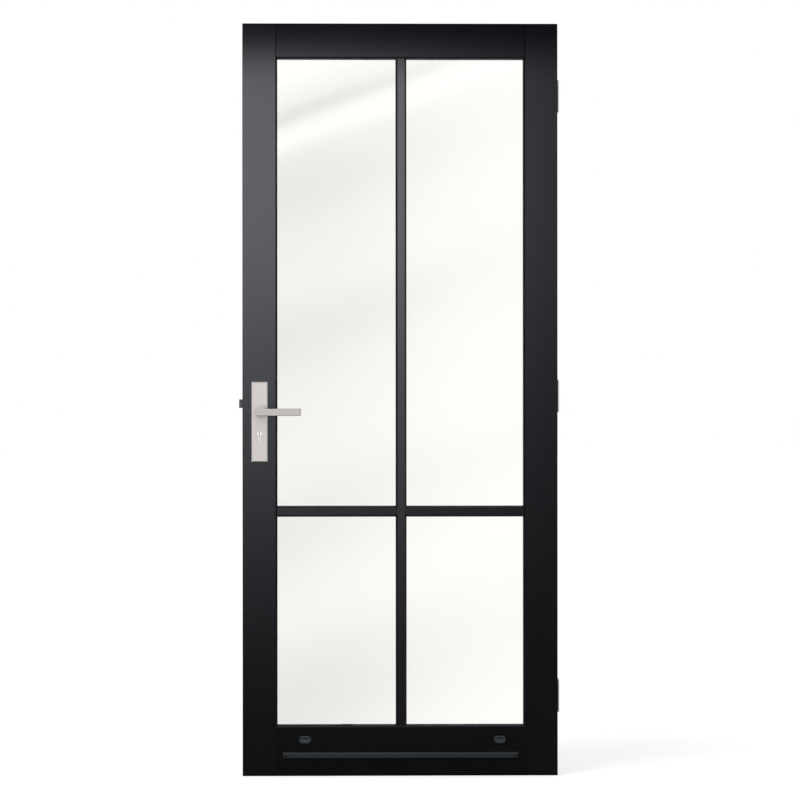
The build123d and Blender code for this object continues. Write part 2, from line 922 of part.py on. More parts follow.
def make_lock_faceplate():
    plate = faceplate_blank(edge_left, case_front)
    holes = [faceplate_screw(z, screw_hole_gap) for z in faceplate_screw_zs()]
    return plate - bolt_windows(slide_gap) - holes - cylinder_screw(screw_hole_gap)


def make_lock_case():
    """The open steel tray that the works sit in, with its guide posts and spring shelf."""
    half = case_thickness / 2
    tray = block(case_front, case_back, -half, half - case_wall, case_foot, case_top)
    back = case_back - case_wall
    tray -= block(case_front + case_wall, back, -inner_half, half, case_foot + case_wall, case_top - case_wall)
    tray += rod_y(dead_guide_x(), dead_bolt_z, -inner_half, inner_half, guide_radius)
    tray += rod_y(latch_guide_x(), latch_z, -inner_half, inner_half, latch_guide_radius)
    shelf = dead_bolt_z - spring_shelf_drop
    shelf_x = case_back - spring_shelf_reach
    tray += block(shelf_x, back, -inner_half, inner_half, shelf - spring_shelf_thickness, shelf)
    tray -= rod_y(lock_x, spindle_z, -half, -inner_half, follower_journal + running_gap)
    tray -= sketch_along_y(profile_sketch(case_profile_gap), lock_x, cylinder_z, -half, -inner_half)
    return tray - bolt_windows(slide_gap) - cylinder_screw(case_profile_gap)


def make_lock_cover():
    half = case_thickness / 2
    cover = block(case_front, case_back, inner_half, half, case_foot, case_top)
    cover -= rod_y(lock_x, spindle_z, inner_half, half, follower_journal + running_gap)
    return cover - sketch_along_y(profile_sketch(case_profile_gap), lock_x, cylinder_z, inner_half, half)


def make_follower():
    """The hub that the spindle turns, with an arm up to the latch and one across to its spring."""
    half = follower_thickness / 2
    hub = rod_y(lock_x, spindle_z, -inner_half + slide_gap, inner_half - slide_gap, follower_radius)
    journals = rod_y(lock_x, spindle_z, -case_thickness / 2, case_thickness / 2, follower_journal)
    width = follower_arm_width / 2
    arm = block(lock_x - width, lock_x + width, -half, half, spindle_z, spindle_z + follower_arm)
    rest = spring_arm_width / 2
    across = block(lock_x, lock_x + spring_arm, -half, half, spindle_z - rest, spindle_z + rest)
    socket = spindle_side / 2 + snug_gap
    hole = block(
        lock_x - socket, lock_x + socket, -case_thickness, case_thickness, spindle_z - socket, spindle_z + socket
    )
    return hub + journals + arm + across - hole


def latch_guide_x():
    return lock_x - latch_guide_offset


def dead_guide_x():
    return edge_left + dead_bolt_head + dead_guide_inset


def make_latch_bolt():
    """The sprung latch: a slanted head, a slotted tail, a lug down to the follower and one up to the spring."""
    half = latch_head_thickness / 2
    tip = edge_left - latch_throw
    back = tip + latch_throw + latch_head_length
    lead = edge_left - latch_lead
    slant = [(tip, half), (tip, half - latch_land), (lead, -half), (back, -half), (back, half)]
    head = along_z(slant, latch_z - latch_head_height / 2, latch_z + latch_head_height / 2)
    thin = latch_tail_thickness / 2
    lug_face = lock_x + follower_arm_width / 2 + latch_lug_gap
    rise = latch_tail_height / 2
    tail = block(back, lug_face + latch_lug_width, -thin, thin, latch_z - rise, latch_z + rise)
    lug_foot = spindle_z + follower_radius + latch_lug_rise
    lug = block(lug_face, lug_face + latch_lug_width, -thin, thin, lug_foot, latch_z)
    horn_x = latch_horn_x()
    horn = block(horn_x - latch_lug_width, horn_x, -thin, thin, latch_z, latch_z + rise + latch_horn_rise)
    slot_radius = latch_guide_radius + turning_gap
    slot_middle = latch_guide_x() - latch_throw / 2
    slot = sketch_along_y(
        SlotOverall(latch_throw + 2 * slot_radius, 2 * slot_radius), slot_middle, latch_z, -thin, thin
    )
    return head + tail + lug + horn - slot


def latch_horn_x():
    """The spring's side of the latch's horn."""
    return lock_x - latch_horn_offset


def make_latch_spring():
    """A hairpin of flat spring steel between the latch's horn and the back of the case."""
    foot = latch_z + (latch_tail_height + latch_horn_rise) / 2
    left = latch_horn_x() + turning_gap + spring_strip / 2 + spring_play
    right = case_back - case_wall - turning_gap - spring_strip / 2 - spring_play
    middle = (left + right) / 2
    top = case_top - case_wall - hairpin_top_gap
    bends = ((middle - hairpin_half_width, top), (middle + hairpin_half_width, top))
    line = FilletPolyline((left, foot), *bends, (right, foot), radius=hairpin_bend)
    return sketch_along_y(trace(line, spring_strip), 0, 0, -spring_width / 2, spring_width / 2)


def make_follower_spring():
    """A bow of flat spring steel under the follower's cross arm."""
    top = spindle_z - spring_arm_width / 2 - turning_gap - spring_strip
    foot = dead_bolt_z - spring_shelf_drop + turning_gap + spring_strip
    left = lock_x + spring_arm - bow_overlap
    right = case_back - case_wall - bow_back_gap
    bends = ((right, top - bow_slope), (right, foot + bow_slope))
    line = FilletPolyline((left, top), *bends, (left, foot), radius=spring_bend)
    return sketch_along_y(trace(line, spring_strip), 0, 0, -spring_width / 2, spring_width / 2)


def make_dead_bolt():
    """The square bolt, with a thinner slotted tail that runs on its guide post."""
    half = dead_bolt_thickness / 2
    rise = dead_bolt_height / 2
    back = edge_left + dead_bolt_head
    head = block(edge_left, back, -half, half, dead_bolt_z - rise, dead_bolt_z + rise)
    head = chamfer(head.faces().sort_by(Axis.X)[0].edges(), bolt_bevel)
    thin = follower_thickness / 2
    low = dead_tail_height / 2
    tail = block(back, back + dead_bolt_tail, -thin, thin, dead_bolt_z - low, dead_bolt_z + low)
    slot_radius = guide_radius + turning_gap
    slot = sketch_along_y(
        SlotOverall(dead_bolt_throw + 2 * slot_radius, 2 * slot_radius),
        dead_guide_x() + dead_bolt_throw / 2,
        dead_bolt_z,
        -thin,
        thin,
    )
    return head + tail - slot


# The profile cylinder


def cylinder_ends():
    return plate_out - cylinder_proud, plate_in + cylinder_proud


def cylinder_screw(gap=0.0):
    """The long screw from the faceplate into the cylinder's waist."""
    z = cylinder_z - (cam_nose_radius + cam_nose_gap + cylinder_height - cylinder_radius) / 2
    place = Pos(edge_left, 0, z) * Rot(Y=-90)
    return screw(place, screw_radius, screw_head_radius, backset + cylinder_web / 4, gap)


def make_cylinder_body():
    """The case of the cylinder, bored for its plugs and cut away in the middle for the cam."""
    y0, y1 = cylinder_ends()
    body = sketch_along_y(profile_sketch(), lock_x, cylinder_z, y0, y1)
    body -= rod_y(lock_x, cylinder_z, y0, y1, plug_radius + running_gap)
    half = cam_thickness / 2 + cam_slot_gap
    width = cylinder_radius + cam_slot_side
    floor = cylinder_z - cam_nose_radius - cam_nose_gap
    body -= block(lock_x - width, lock_x + width, -half, half, floor, cylinder_z + width)
    return body - cylinder_screw(snug_gap)


def make_cylinder_plug(outwards):
    y0, y1 = cylinder_ends()
    end = (y0 if outwards < 0 else y1) + outwards * plug_proud
    plug = rod_y(lock_x, cylinder_z, end, outwards * turning_gap, plug_radius)
    rim = plug.edges().filter_by(GeomType.CIRCLE).group_by(Axis.Y)[0 if outwards < 0 else -1]
    plug = chamfer(rim, plug_bevel)
    wide = key_slot_width / 2
    tall = key_slot_height / 2
    deep = end - outwards * key_slot_depth
    return plug - block(lock_x - wide, lock_x + wide, end, deep, cylinder_z - tall, cylinder_z + tall)


def make_cylinder_cam():
    """The ring between the plugs, with the nose that throws the bolt."""
    half = cam_thickness / 2
    ring = Circle(cam_radius)
    nose = Pos(0, -cam_nose_radius / 2) * Rectangle(cam_nose_width, cam_nose_radius)
    lobe = Circle(cam_nose_radius) & nose
    cam = sketch_along_y(Rot(Z=cam_rest_angle) * (ring + lobe), lock_x, cylinder_z, -half, half)
    return cam - rod_y(lock_x, cylinder_z, -half, half, plug_radius + snug_gap)


# The butt hinges


def knuckle_spans(z):
    """The (low, high) of each knuckle of the hinge whose middle is at z."""
    step = (hinge_height + knuckle_gap) / knuckle_count
    foot = z - hinge_height / 2
    return [(foot + step * number, foot + step * (number + 1) - knuckle_gap) for number in range(knuckle_count)]


def make_flap(z, x0, x1, first):
    """One flap with every other knuckle, starting from the first or the second."""
    low = z - hinge_height / 2
    high = z + hinge_height / 2
    flap = block(x0, x1, pin_y - flap_width, pin_y, low, high)
    spans = knuckle_spans(z)
    mine = spans[first::2]
    others = spans[1 - first :: 2]
    for foot, top in others:
        flap -= rod_z(pin_x, pin_y, foot - knuckle_gap, top + knuckle_gap, knuckle_radius + turning_gap)
    for foot, top in mine:
        flap += rod_z(pin_x, pin_y, foot, top, knuckle_radius)
    return flap - rod_z(pin_x, pin_y, low, high, pin_radius + running_gap)


def leaf_screw(y, z, gap=0.0):
    place = Pos(edge_right, y, z) * Rot(Y=90)
    return screw(place, screw_radius, screw_head_radius, hinge_screw_length, gap)


def hole_places(z):
    """The (y, z) of one flap's four holes, in a zigzag."""
    inner = [(inner_hole_y, z - inner_hole_rise), (inner_hole_y, z + inner_hole_rise)]
    outer = [(outer_hole_y, z - outer_hole_rise), (outer_hole_y, z + outer_hole_rise)]
    return inner + outer


def leaf_screw_places():
    return [place for z in hinges.values() for place in hole_places(z)]


def hinge_pocket(z):
    """The shallow recess for a leaf flap in the hinge stile's edge."""
    high = z + hinge_height / 2 + snug_gap
    low = z - hinge_height / 2 - snug_gap
    return block(edge_right - flap_thickness, edge_right, pin_y - flap_width - snug_gap, face_in, low, high)


def make_leaf_flap(z):
    flap = make_flap(z, edge_right - flap_thickness, edge_right, 1)
    return flap - [leaf_screw(y, hole_z, screw_hole_gap) for y, hole_z in hole_places(z)]


def make_frame_flap(z):
    near = edge_right + jamb_gap
    flap = make_flap(z, near, near + flap_thickness, 0)
    holes = []
    for y, hole_z in hole_places(z):
        place = Pos(near, y, hole_z) * Rot(Y=-90)
        holes.append(screw(place, screw_radius, screw_head_radius, flap_thickness * 2, jamb_hole_gap))
    return flap - holes


def make_hinge_pin(z):
    low = z - hinge_height / 2
    high = z + hinge_height / 2
    pin = rod_z(pin_x, pin_y, low, high + pin_head, pin_radius)
    head = rod_z(pin_x, pin_y, high, high + pin_head, knuckle_radius)
    head = chamfer(head.edges().group_by(Axis.Z)[-1], pin_head_bevel)
    return pin + head


def make_leaf_screws():
    return [leaf_screw(y, z) for y, z in leaf_screw_places()]


def all_nodes():
    """Every node's solid, or list of solids, by its name."""
    nodes = {
        "lock_stile": make_lock_stile(),
        "hinge_stile": make_hinge_stile(),
        "top_rail": make_top_rail(),
        "bottom_rail": make_bottom_rail(),
        "frame_dowels": [dowel(x, z) for x, z in dowel_places()],
        "outer_pane": make_pane(glass_out),
        "inner_pane": make_pane(cavity_in),
        "edge_sealant": make_edge_sealant(),
        "spacer_frame": make_spacer_frame(),
        "spacer_grid": make_spacer_grid(),
        "outer_glazing_seal": make_outer_glazing_seal(),
        "inner_glazing_seal": make_inner_glazing_seal(),
        "setting_blocks": make_setting_blocks(),
        "glazing_shim": make_glazing_shim(),
        "bead_bottom": make_level_bead(sight_low - rebate_depth, 1),
        "bead_top": make_level_bead(sight_high + rebate_depth, -1),
        "bead_lock_side": make_upright_bead(sight_left - rebate_depth, 1),
        "bead_hinge_side": make_upright_bead(sight_right + rebate_depth, -1),
        "bead_screws": make_bead_screws(),
        "bar_tapes": make_bar_tapes(),
        "drain_caps": [make_drain_cap(x) for x in drain_cap_xs],
        "weather_bar": make_weather_bar(),
        "weather_bar_caps": make_weather_bar_caps(),
        "weather_bar_screws": [weather_screw(x) for x in weather_screw_xs()],
        "outer_backplate": make_outer_backplate(),
        "inner_backplate": make_inner_backplate(),
        "outer_lever": make_lever(-1),
        "inner_lever": make_lever(1),
        "lever_grub_screws": [grub_screw(outwards) for outwards in (-1, 1)],
        "lever_bushes": make_lever_bushes(),
        "spindle": make_spindle(),
        "plate_screws": [plate_screw(z) for z in plate_screw_zs()],
        "lock_faceplate": make_lock_faceplate(),
        "faceplate_screws": [faceplate_screw(z) for z in faceplate_screw_zs()],
        "lock_case": make_lock_case(),
        "lock_cover": make_lock_cover(),
        "follower": make_follower(),
        "follower_spring": make_follower_spring(),
        "latch_bolt": make_latch_bolt(),
        "latch_spring": make_latch_spring(),
        "dead_bolt": make_dead_bolt(),
        "cylinder_body": make_cylinder_body(),
        "cylinder_plug_outer": make_cylinder_plug(-1),
        "cylinder_plug_inner": make_cylinder_plug(1),
        "cylinder_cam": make_cylinder_cam(),
        "cylinder_screw": cylinder_screw(),
        "hinge_pins": [make_hinge_pin(z) for z in hinges.values()],
        "hinge_screws": make_leaf_screws(),
    }
    for side, outwards in (("outer", -1), ("inner", 1)):
        nodes[f"bar_{side}_upright"] = make_upright_bar(outwards)
        nodes[f"bar_{side}_left"] = make_level_bar(sight_left, upright_bar_x, outwards)
        nodes[f"bar_{side}_right"] = make_level_bar(upright_bar_x, sight_right, outwards)
    for name, z in hinges.items():
        nodes[f"hinge_{name}_leaf_flap"] = make_leaf_flap(z)
        nodes[f"hinge_{name}_frame_flap"] = make_frame_flap(z)
    return nodes


def write_all():
    os.makedirs("parts", exist_ok=True)
    for name, shape in all_nodes().items():
        if isinstance(shape, list):
            shape = Compound(children=[solid for piece in shape for solid in piece.solids()])
        export_step(shape, f"parts/{name}.step")


write_all()
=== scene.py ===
import json
import math

import bmesh
import bpy
import numpy as np
from mathutils import Matrix, Vector

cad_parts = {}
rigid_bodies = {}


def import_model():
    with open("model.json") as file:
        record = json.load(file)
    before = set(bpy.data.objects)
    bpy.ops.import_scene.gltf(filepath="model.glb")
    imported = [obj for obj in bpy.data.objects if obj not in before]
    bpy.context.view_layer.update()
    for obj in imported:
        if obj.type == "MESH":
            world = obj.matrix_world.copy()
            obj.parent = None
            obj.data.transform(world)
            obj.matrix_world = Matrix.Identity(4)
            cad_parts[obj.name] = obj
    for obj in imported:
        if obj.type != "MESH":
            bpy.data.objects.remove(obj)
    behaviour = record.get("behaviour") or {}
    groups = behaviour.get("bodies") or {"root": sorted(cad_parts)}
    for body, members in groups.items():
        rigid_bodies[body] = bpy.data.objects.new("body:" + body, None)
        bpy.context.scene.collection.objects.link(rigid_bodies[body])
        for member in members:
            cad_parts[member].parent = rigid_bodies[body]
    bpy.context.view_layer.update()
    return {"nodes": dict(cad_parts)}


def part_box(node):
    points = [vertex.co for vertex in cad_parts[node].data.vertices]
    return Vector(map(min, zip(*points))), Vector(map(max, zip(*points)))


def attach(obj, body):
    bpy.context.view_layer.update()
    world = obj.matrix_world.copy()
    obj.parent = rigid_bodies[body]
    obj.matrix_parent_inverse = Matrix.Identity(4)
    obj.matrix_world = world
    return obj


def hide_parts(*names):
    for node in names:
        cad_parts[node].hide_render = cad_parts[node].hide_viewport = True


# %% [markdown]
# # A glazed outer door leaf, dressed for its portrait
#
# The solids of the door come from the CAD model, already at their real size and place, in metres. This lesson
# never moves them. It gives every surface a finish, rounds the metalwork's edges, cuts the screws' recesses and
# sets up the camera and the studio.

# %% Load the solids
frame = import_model()

# %% [markdown]
# ## Helpers
#
# Materials, the sky and Geometry Nodes are all trees of small nodes. They could be clicked together by hand, but a
# script can be read and rerun. `place` adds one node and feeds its inputs, either with a plain value or with the
# output of another node. The helpers after it place the nodes that come up most: sums and products, ramps, mixes
# and noise. `new_group` starts a tree that other trees can use as one node of their own.


# %% Helpers for node trees
def feed_socket(tree, socket, value):
    if isinstance(value, bpy.types.NodeSocket):
        tree.links.new(value, socket)
    else:
        socket.default_value = value


def live_output(node):
    return next(socket for socket in node.outputs if socket.enabled)


def place(tree, kind, inputs=None, **options):
    node = tree.nodes.new(kind)
    for option, value in options.items():
        setattr(node, option, value)
    for name, value in (inputs or {}).items():
        socket = next(s for s in node.inputs if s.enabled and name in (s.name, s.identifier))
        feed_socket(tree, socket, value)
    return node


def math_of(tree, operation, *values):
    node = place(tree, "ShaderNodeMath", operation=operation)
    for socket, value in zip(node.inputs, values):
        feed_socket(tree, socket, value)
    return node.outputs[0]


def product_of(tree, first, *others):
    for other in others:
        first = math_of(tree, "MULTIPLY", first, other)
    return first


def ramp_of(tree, value, start, end, low=0.0, high=1.0, kind="SMOOTHSTEP"):
    return place(tree, "ShaderNodeMapRange", {
        "Value": value, "From Min": start, "From Max": end, "To Min": low, "To Max": high},
        interpolation_type=kind).outputs[0]


def mix_of(tree, factor, first, second, kind="FLOAT"):
    return live_output(place(tree, "ShaderNodeMix", {"Factor": factor, "A": first, "B": second}, data_type=kind))


def noise_of(tree, vector, scale, detail, **others):
    inputs = {"Vector": vector, "Scale": scale, "Detail": detail, **others}
    return place(tree, "ShaderNodeTexNoise", inputs).outputs[0]


def stretch_of(tree, vector, stretch):
    inputs = {"Vector": vector, "Vector_001": stretch}
    return place(tree, "ShaderNodeVectorMath", inputs, operation="MULTIPLY").outputs[0]


def new_group(name, kind, inputs, outputs):
    tree = bpy.data.node_groups.new(name, kind)
    for label, socket_type, value in inputs:
        socket = tree.interface.new_socket(label, in_out="INPUT", socket_type=socket_type)
        if value is not None:
            socket.default_value = value
    for label, socket_type in outputs:
        tree.interface.new_socket(label, in_out="OUTPUT", socket_type=socket_type)
    return tree, tree.nodes.new("NodeGroupInput"), tree.nodes.new("NodeGroupOutput")


def new_material(name):
    material = bpy.data.materials.new(name)
    material.use_nodes = True
    material.node_tree.nodes.clear()
    return material, material.node_tree


print("node helpers ready")

# %% [markdown]
# A new piece is made in few ways only: a bmesh becomes a mesh, or a modifier is evaluated into one, and the mesh
# becomes an object of the scene. `seat` puts a finished piece on the body that it moves with, and says which solid
# it stands for and what it is made of.

# %% Helpers for objects
scene = bpy.context.scene


def put_in_scene(name, data):
    thing = bpy.data.objects.new(name, data)
    scene.collection.objects.link(thing)
    return thing


def mesh_from(maker, name):
    mesh = bpy.data.meshes.new(name)
    maker.to_mesh(mesh)
    maker.free()
    return mesh


def evaluated_mesh(thing):
    bpy.context.view_layer.update()
    return bpy.data.meshes.new_from_object(thing.evaluated_get(bpy.context.evaluated_depsgraph_get()))


def seat(mesh, piece_name, body, solid_name=None):
    piece = put_in_scene(piece_name, mesh)
    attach(piece, body)
    if solid_name:
        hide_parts(solid_name)
    return piece


print("object helpers ready")

# %% [markdown]
# ## The camera
#
# The picture is taken with a long lens from ten metres away, level with the middle of the door. From so far the
# edges of the door stay almost parallel. The left edge is a hair taller than the right one, so the camera stands a
# little to the left. A short lens close by would bend the frame into a wedge, and shifting the lens would only hide
# a wrong standpoint.

# %% Stand the camera in front of the weather face
WEATHER_FACE = -0.027
HALF_HEIGHT = 1.05
CAMERA_DISTANCE = 10.0
CAMERA_TURN = math.radians(1.15)
CAMERA_LEAN = math.radians(-0.03)
FRAMED_WIDTH = 2.2335
SENSOR_WIDTH = 36.0
AIM = Vector((-0.0004, WEATHER_FACE, 1.0491))

camera_data = bpy.data.cameras.new("portrait_lens")
camera_data.sensor_width = SENSOR_WIDTH
camera_data.lens = SENSOR_WIDTH * CAMERA_DISTANCE / FRAMED_WIDTH
camera = put_in_scene("portrait_camera", camera_data)
stand = AIM + CAMERA_DISTANCE * Vector((-math.sin(CAMERA_TURN), -math.cos(CAMERA_TURN), 0))
facing = (AIM - stand).to_track_quat("-Z", "Y").to_matrix()
camera.matrix_world = Matrix.Translation(stand) @ (facing @ Matrix.Rotation(CAMERA_LEAN, 3, "Z")).to_4x4()
scene.camera = camera
scene.view_settings.view_transform = "Standard"
print("lens", round(camera_data.lens, 1), "mm, standing at", tuple(round(c, 3) for c in stand))

# %% [markdown]
# ## The sky around the studio
#
# A studio is a big pale tent. The camera, and what it sees straight through the glass, get pure white. Rough
# paint and metal get a dimmer room that is bright only overhead, because black satin paint in an all-white room
# would turn grey. The glass gets its own faint slanting streaks, as if a softly lit curtain hung behind the
# camera. They are painted on the sky by direction, so nothing is painted on the glass itself. The curtain hangs
# only straight before and behind the door. Were it wider, the steep sides of the glazing bars would mirror it.

# %% Paint the sky
STREAKS = [  # height at the left edge of the door, half width, how much lighter or darker
    (1.985, 0.070, 0.85),
    (1.838, 0.020, -0.62),
    (1.768, 0.034, 0.72),
    (1.615, 0.075, -0.36),
    (1.370, 0.080, 0.04),
    (1.205, 0.085, -0.36),
    (0.910, 0.090, 0.22),
    (0.695, 0.070, -0.22),
    (0.455, 0.075, 0.25),
    (0.190, 0.120, -0.50),
]
STREAK_SLOPE = 0.37
LEFT_EDGE = -0.32
CURTAIN_RIGHT = 1.20
CURTAIN_FALL = 0.72
LEAST_REACH = 0.38
RIPPLE_SCALE, RIPPLE_SQUEEZE, RIPPLE_DEPTH = 1.6, 2.2, 0.35
world = bpy.data.worlds.new("studio_sky")
scene.world = world
world.use_nodes = True
sky = world.node_tree
sky.nodes.clear()
direction = place(sky, "ShaderNodeSeparateXYZ", {"Vector": place(sky, "ShaderNodeTexCoord").outputs["Generated"]})
frontness = math_of(sky, "ABSOLUTE", direction.outputs["Y"])


def place_on_curtain(axis, shift):
    spread = math_of(sky, "DIVIDE", direction.outputs[axis], math_of(sky, "MAXIMUM", frontness, 0.05))
    return math_of(sky, "ADD", product_of(sky, spread, CAMERA_DISTANCE), shift)


across = place_on_curtain("X", -CAMERA_DISTANCE * math.sin(CAMERA_TURN))
upward = place_on_curtain("Z", HALF_HEIGHT)
from_left_edge = math_of(sky, "SUBTRACT", across, LEFT_EDGE)
slant = math_of(sky, "SUBTRACT", upward, product_of(sky, from_left_edge, STREAK_SLOPE))
ripple_spot = place(sky, "ShaderNodeCombineXYZ", {"X": across, "Y": product_of(sky, slant, RIPPLE_SQUEEZE)})
ripple = math_of(sky, "SUBTRACT", noise_of(sky, ripple_spot.outputs[0], RIPPLE_SCALE, 1.0), 0.5)
leftness = ramp_of(sky, across, -0.35, 0.35, 1.0, 0.0)
reach = ramp_of(sky, leftness, 0.0, 1.0, LEAST_REACH, 1.0, "LINEAR")
curtain = math_of(sky, "SUBTRACT", CURTAIN_RIGHT, product_of(sky, leftness, CURTAIN_FALL))
curtain = math_of(sky, "ADD", curtain, product_of(sky, ripple, RIPPLE_DEPTH))
for height, half_width, change in STREAKS:
    off = math_of(sky, "ABSOLUTE", math_of(sky, "SUBTRACT", slant, height))
    band = ramp_of(sky, off, 0.0, 2 * half_width, change, 0.0)
    curtain = math_of(sky, "ADD", curtain, product_of(sky, band, reach))
straight_on = ramp_of(sky, frontness, 0.74, 0.93, 0.12, 1.0)
curtain = product_of(sky, math_of(sky, "MAXIMUM", curtain, 0.0), straight_on)
print("streaks in the curtain:", len(STREAKS))

# %% [markdown]
# The four kinds of ray then pick their sky. A ray that has bounced off clear glass sees the curtain, a ray from a
# rough surface sees the dim room, a ray that lights a matt surface gets a plain grey, and every other ray, which
# is the camera's own or has only passed through the glass, sees white.

# %% Let each kind of ray pick its sky
def kinds_of_ray(tree):
    path = place(tree, "ShaderNodeLightPath")
    clear = path.outputs["Is Singular Ray"]
    mirrored = product_of(tree, math_of(tree, "GREATER_THAN", path.outputs["Glossy Depth"], 0.5), clear)
    rough = product_of(tree, path.outputs["Is Glossy Ray"], math_of(tree, "SUBTRACT", 1.0, clear))
    return path, mirrored, rough


ROOM_DIM = 0.010
ROOM_SIDES = 0.015
ROOM_OVERHEAD = 0.22
FILL = 0.35
WHITE, CURTAIN_CREAM = (1.0, 1.0, 1.0, 1.0), (1.0, 0.985, 0.935, 1.0)
overhead = ramp_of(sky, direction.outputs["Z"], 0.40, 0.90, 0.0, ROOM_OVERHEAD)
sideways = ramp_of(sky, math_of(sky, "ABSOLUTE", direction.outputs["X"]), 0.55, 0.95, ROOM_DIM, ROOM_SIDES)
room = math_of(sky, "MAXIMUM", overhead, sideways)
path, mirrored, rough = kinds_of_ray(sky)
level = mix_of(sky, mirrored, 1.0, curtain)
level = mix_of(sky, rough, level, room)
level = mix_of(sky, path.outputs["Is Diffuse Ray"], level, FILL)
tint = mix_of(sky, mirrored, WHITE, CURTAIN_CREAM, "RGBA")
background = place(sky, "ShaderNodeBackground", {"Color": tint, "Strength": level})
place(sky, "ShaderNodeOutputWorld", {"Surface": background.outputs[0]})
print("sky nodes:", len(sky.nodes))

# %% [markdown]
# ## The floor
#
# The door stands on a wide pale floor. For the camera the floor also glows a little, so that it meets the white
# sky without a line, while the shadow at the foot of the door still shows. Through the glass it is an even white,
# and the mirror image in the glass leaves it out, so that the streaks run on below the horizon. A backdrop would
# need none of this, but its corner is hard to hide from every side.


# %% Lay the floor
def flat_sheet(name, corners):
    mesh = bpy.data.meshes.new(name)
    mesh.from_pydata(corners, [], [tuple(range(len(corners)))])
    sheet = put_in_scene(name, mesh)
    return sheet


FLOOR_REACH = 60.0
FLOOR_GLOW = 0.62
PAPER, PAPER_IN_PAINT = (0.80, 0.80, 0.80, 1), (0.20, 0.20, 0.20, 1)
floor_corners = [(FLOOR_REACH * x, FLOOR_REACH * y, 0) for x, y in ((-1, -1), (1, -1), (1, 1), (-1, 1))]
floor = flat_sheet("studio_floor", floor_corners)
floor_finish, tree = new_material("floor_finish")
path, mirrored, rough = kinds_of_ray(tree)
matt = place(tree, "ShaderNodeBsdfPrincipled", {
    "Base Color": mix_of(tree, rough, PAPER, PAPER_IN_PAINT, "RGBA"), "Roughness": 0.9, "Specular IOR Level": 0.1,
    "Emission Color": WHITE, "Emission Strength": product_of(tree, path.outputs["Is Camera Ray"], FLOOR_GLOW)})
even_white = place(tree, "ShaderNodeEmission", {"Color": WHITE, "Strength": 1.0})
nothing = place(tree, "ShaderNodeBsdfTransparent")
through_glass = place(tree, "ShaderNodeMixShader", {
    "Fac": path.outputs["Is Singular Ray"], "Shader": matt.outputs[0], "Shader_001": even_white.outputs[0]})
out_of_mirror = place(tree, "ShaderNodeMixShader", {
    "Fac": mirrored, "Shader": through_glass.outputs[0], "Shader_001": nothing.outputs[0]})
place(tree, "ShaderNodeOutputMaterial", {"Surface": out_of_mirror.outputs[0]})
floor.data.materials.append(floor_finish)
print("floor", 2 * FLOOR_REACH, "m wide")

# %% [markdown]
# ## The lamps
#
# What gives black paint its shape is what it mirrors. One tall soft light stands forty centimetres in front of the
# door. It is brightest at the upper left, has a crisp top edge and fades towards the floor and the right, and the
# paint shows just that. It is a sheet that adds its glow to whatever ray passes through it, except the camera's
# and the clear glass's. A plain area lamp could not fade so smoothly. A second, even one does the same for the
# room side. Light linking keeps both off the floor, which would show them as a bright patch.


# %% Helpers for unseen lights
spared = bpy.data.collections.new("lit_by_the_sky_alone")


def spare(thing):
    spared.objects.link(thing)
    spared.collection_objects[-1].light_linking.link_state = "EXCLUDE"


def keep_unseen(light, receivers):
    light.visible_camera = False
    light.visible_shadow = False
    light.light_linking.receiver_collection = receivers


def add_glow(sheet, glow, colour, strength):
    tree = glow.node_tree
    front = math_of(tree, "SUBTRACT", 1.0, place(tree, "ShaderNodeNewGeometry").outputs["Backfacing"])
    glowing = place(tree, "ShaderNodeEmission", {"Color": colour, "Strength": product_of(tree, strength, front)})
    clear = place(tree, "ShaderNodeBsdfTransparent")
    both = place(tree, "ShaderNodeAddShader", {"Shader": glowing.outputs[0], "Shader_001": clear.outputs[0]})
    place(tree, "ShaderNodeOutputMaterial", {"Surface": both.outputs[0]})
    sheet.data.materials.append(glow)


spare(floor)
print("spared the tall lights:", floor.name)

# %% Hang the two tall lights
SHEET_HALF_WIDTH, SHEET_TOP = 1.1, 2.15
SHEET_RISE, SHEET_KNEE = 0.42, 0.35
TOP_EDGE_FROM, TOP_EDGE_TO = 1.965, 2.12
WANE_FROM, WANE_TO = -0.60, 0.75
COOL_WHITE = (0.93, 0.955, 1.0, 1)


def glowing_sheet(name, distance, bright, right_share, weather_side):
    corners = [(-SHEET_HALF_WIDTH, distance, 0.0), (SHEET_HALF_WIDTH, distance, 0.0),
               (SHEET_HALF_WIDTH, distance, SHEET_TOP), (-SHEET_HALF_WIDTH, distance, SHEET_TOP)]
    sheet = flat_sheet(name, corners[::-1] if weather_side else corners)
    keep_unseen(sheet, spared)
    glow, tree = new_material(name + "_glow")
    spot = place(tree, "ShaderNodeSeparateXYZ", {"Vector": place(tree, "ShaderNodeTexCoord").outputs["Object"]})
    height = spot.outputs["Z"]
    rise = math_of(tree, "SMOOTH_MIN", product_of(tree, height, height, SHEET_RISE), 1.0, SHEET_KNEE)
    top_edge = ramp_of(tree, height, TOP_EDGE_FROM, TOP_EDGE_TO, 1.0, 0.0)
    wane = ramp_of(tree, spot.outputs["X"], WANE_FROM, WANE_TO, 1.0, right_share)
    rough_only = math_of(tree, "SUBTRACT", 1.0, place(tree, "ShaderNodeLightPath").outputs["Is Singular Ray"])
    add_glow(sheet, glow, COOL_WHITE, product_of(tree, rise, top_edge, wane, bright, rough_only))
    return sheet


front_light = glowing_sheet("tall_light_weather_side", WEATHER_FACE - 0.4, 3.15, 0.10, True)
back_light = glowing_sheet("tall_light_room_side", -WEATHER_FACE + 0.7, 2.1, 0.7, False)
print("tall lights:", front_light.name, back_light.name)

# %% [markdown]
# A broad, soft sun gives the whole floor the same light and lays one faint shadow behind the door.

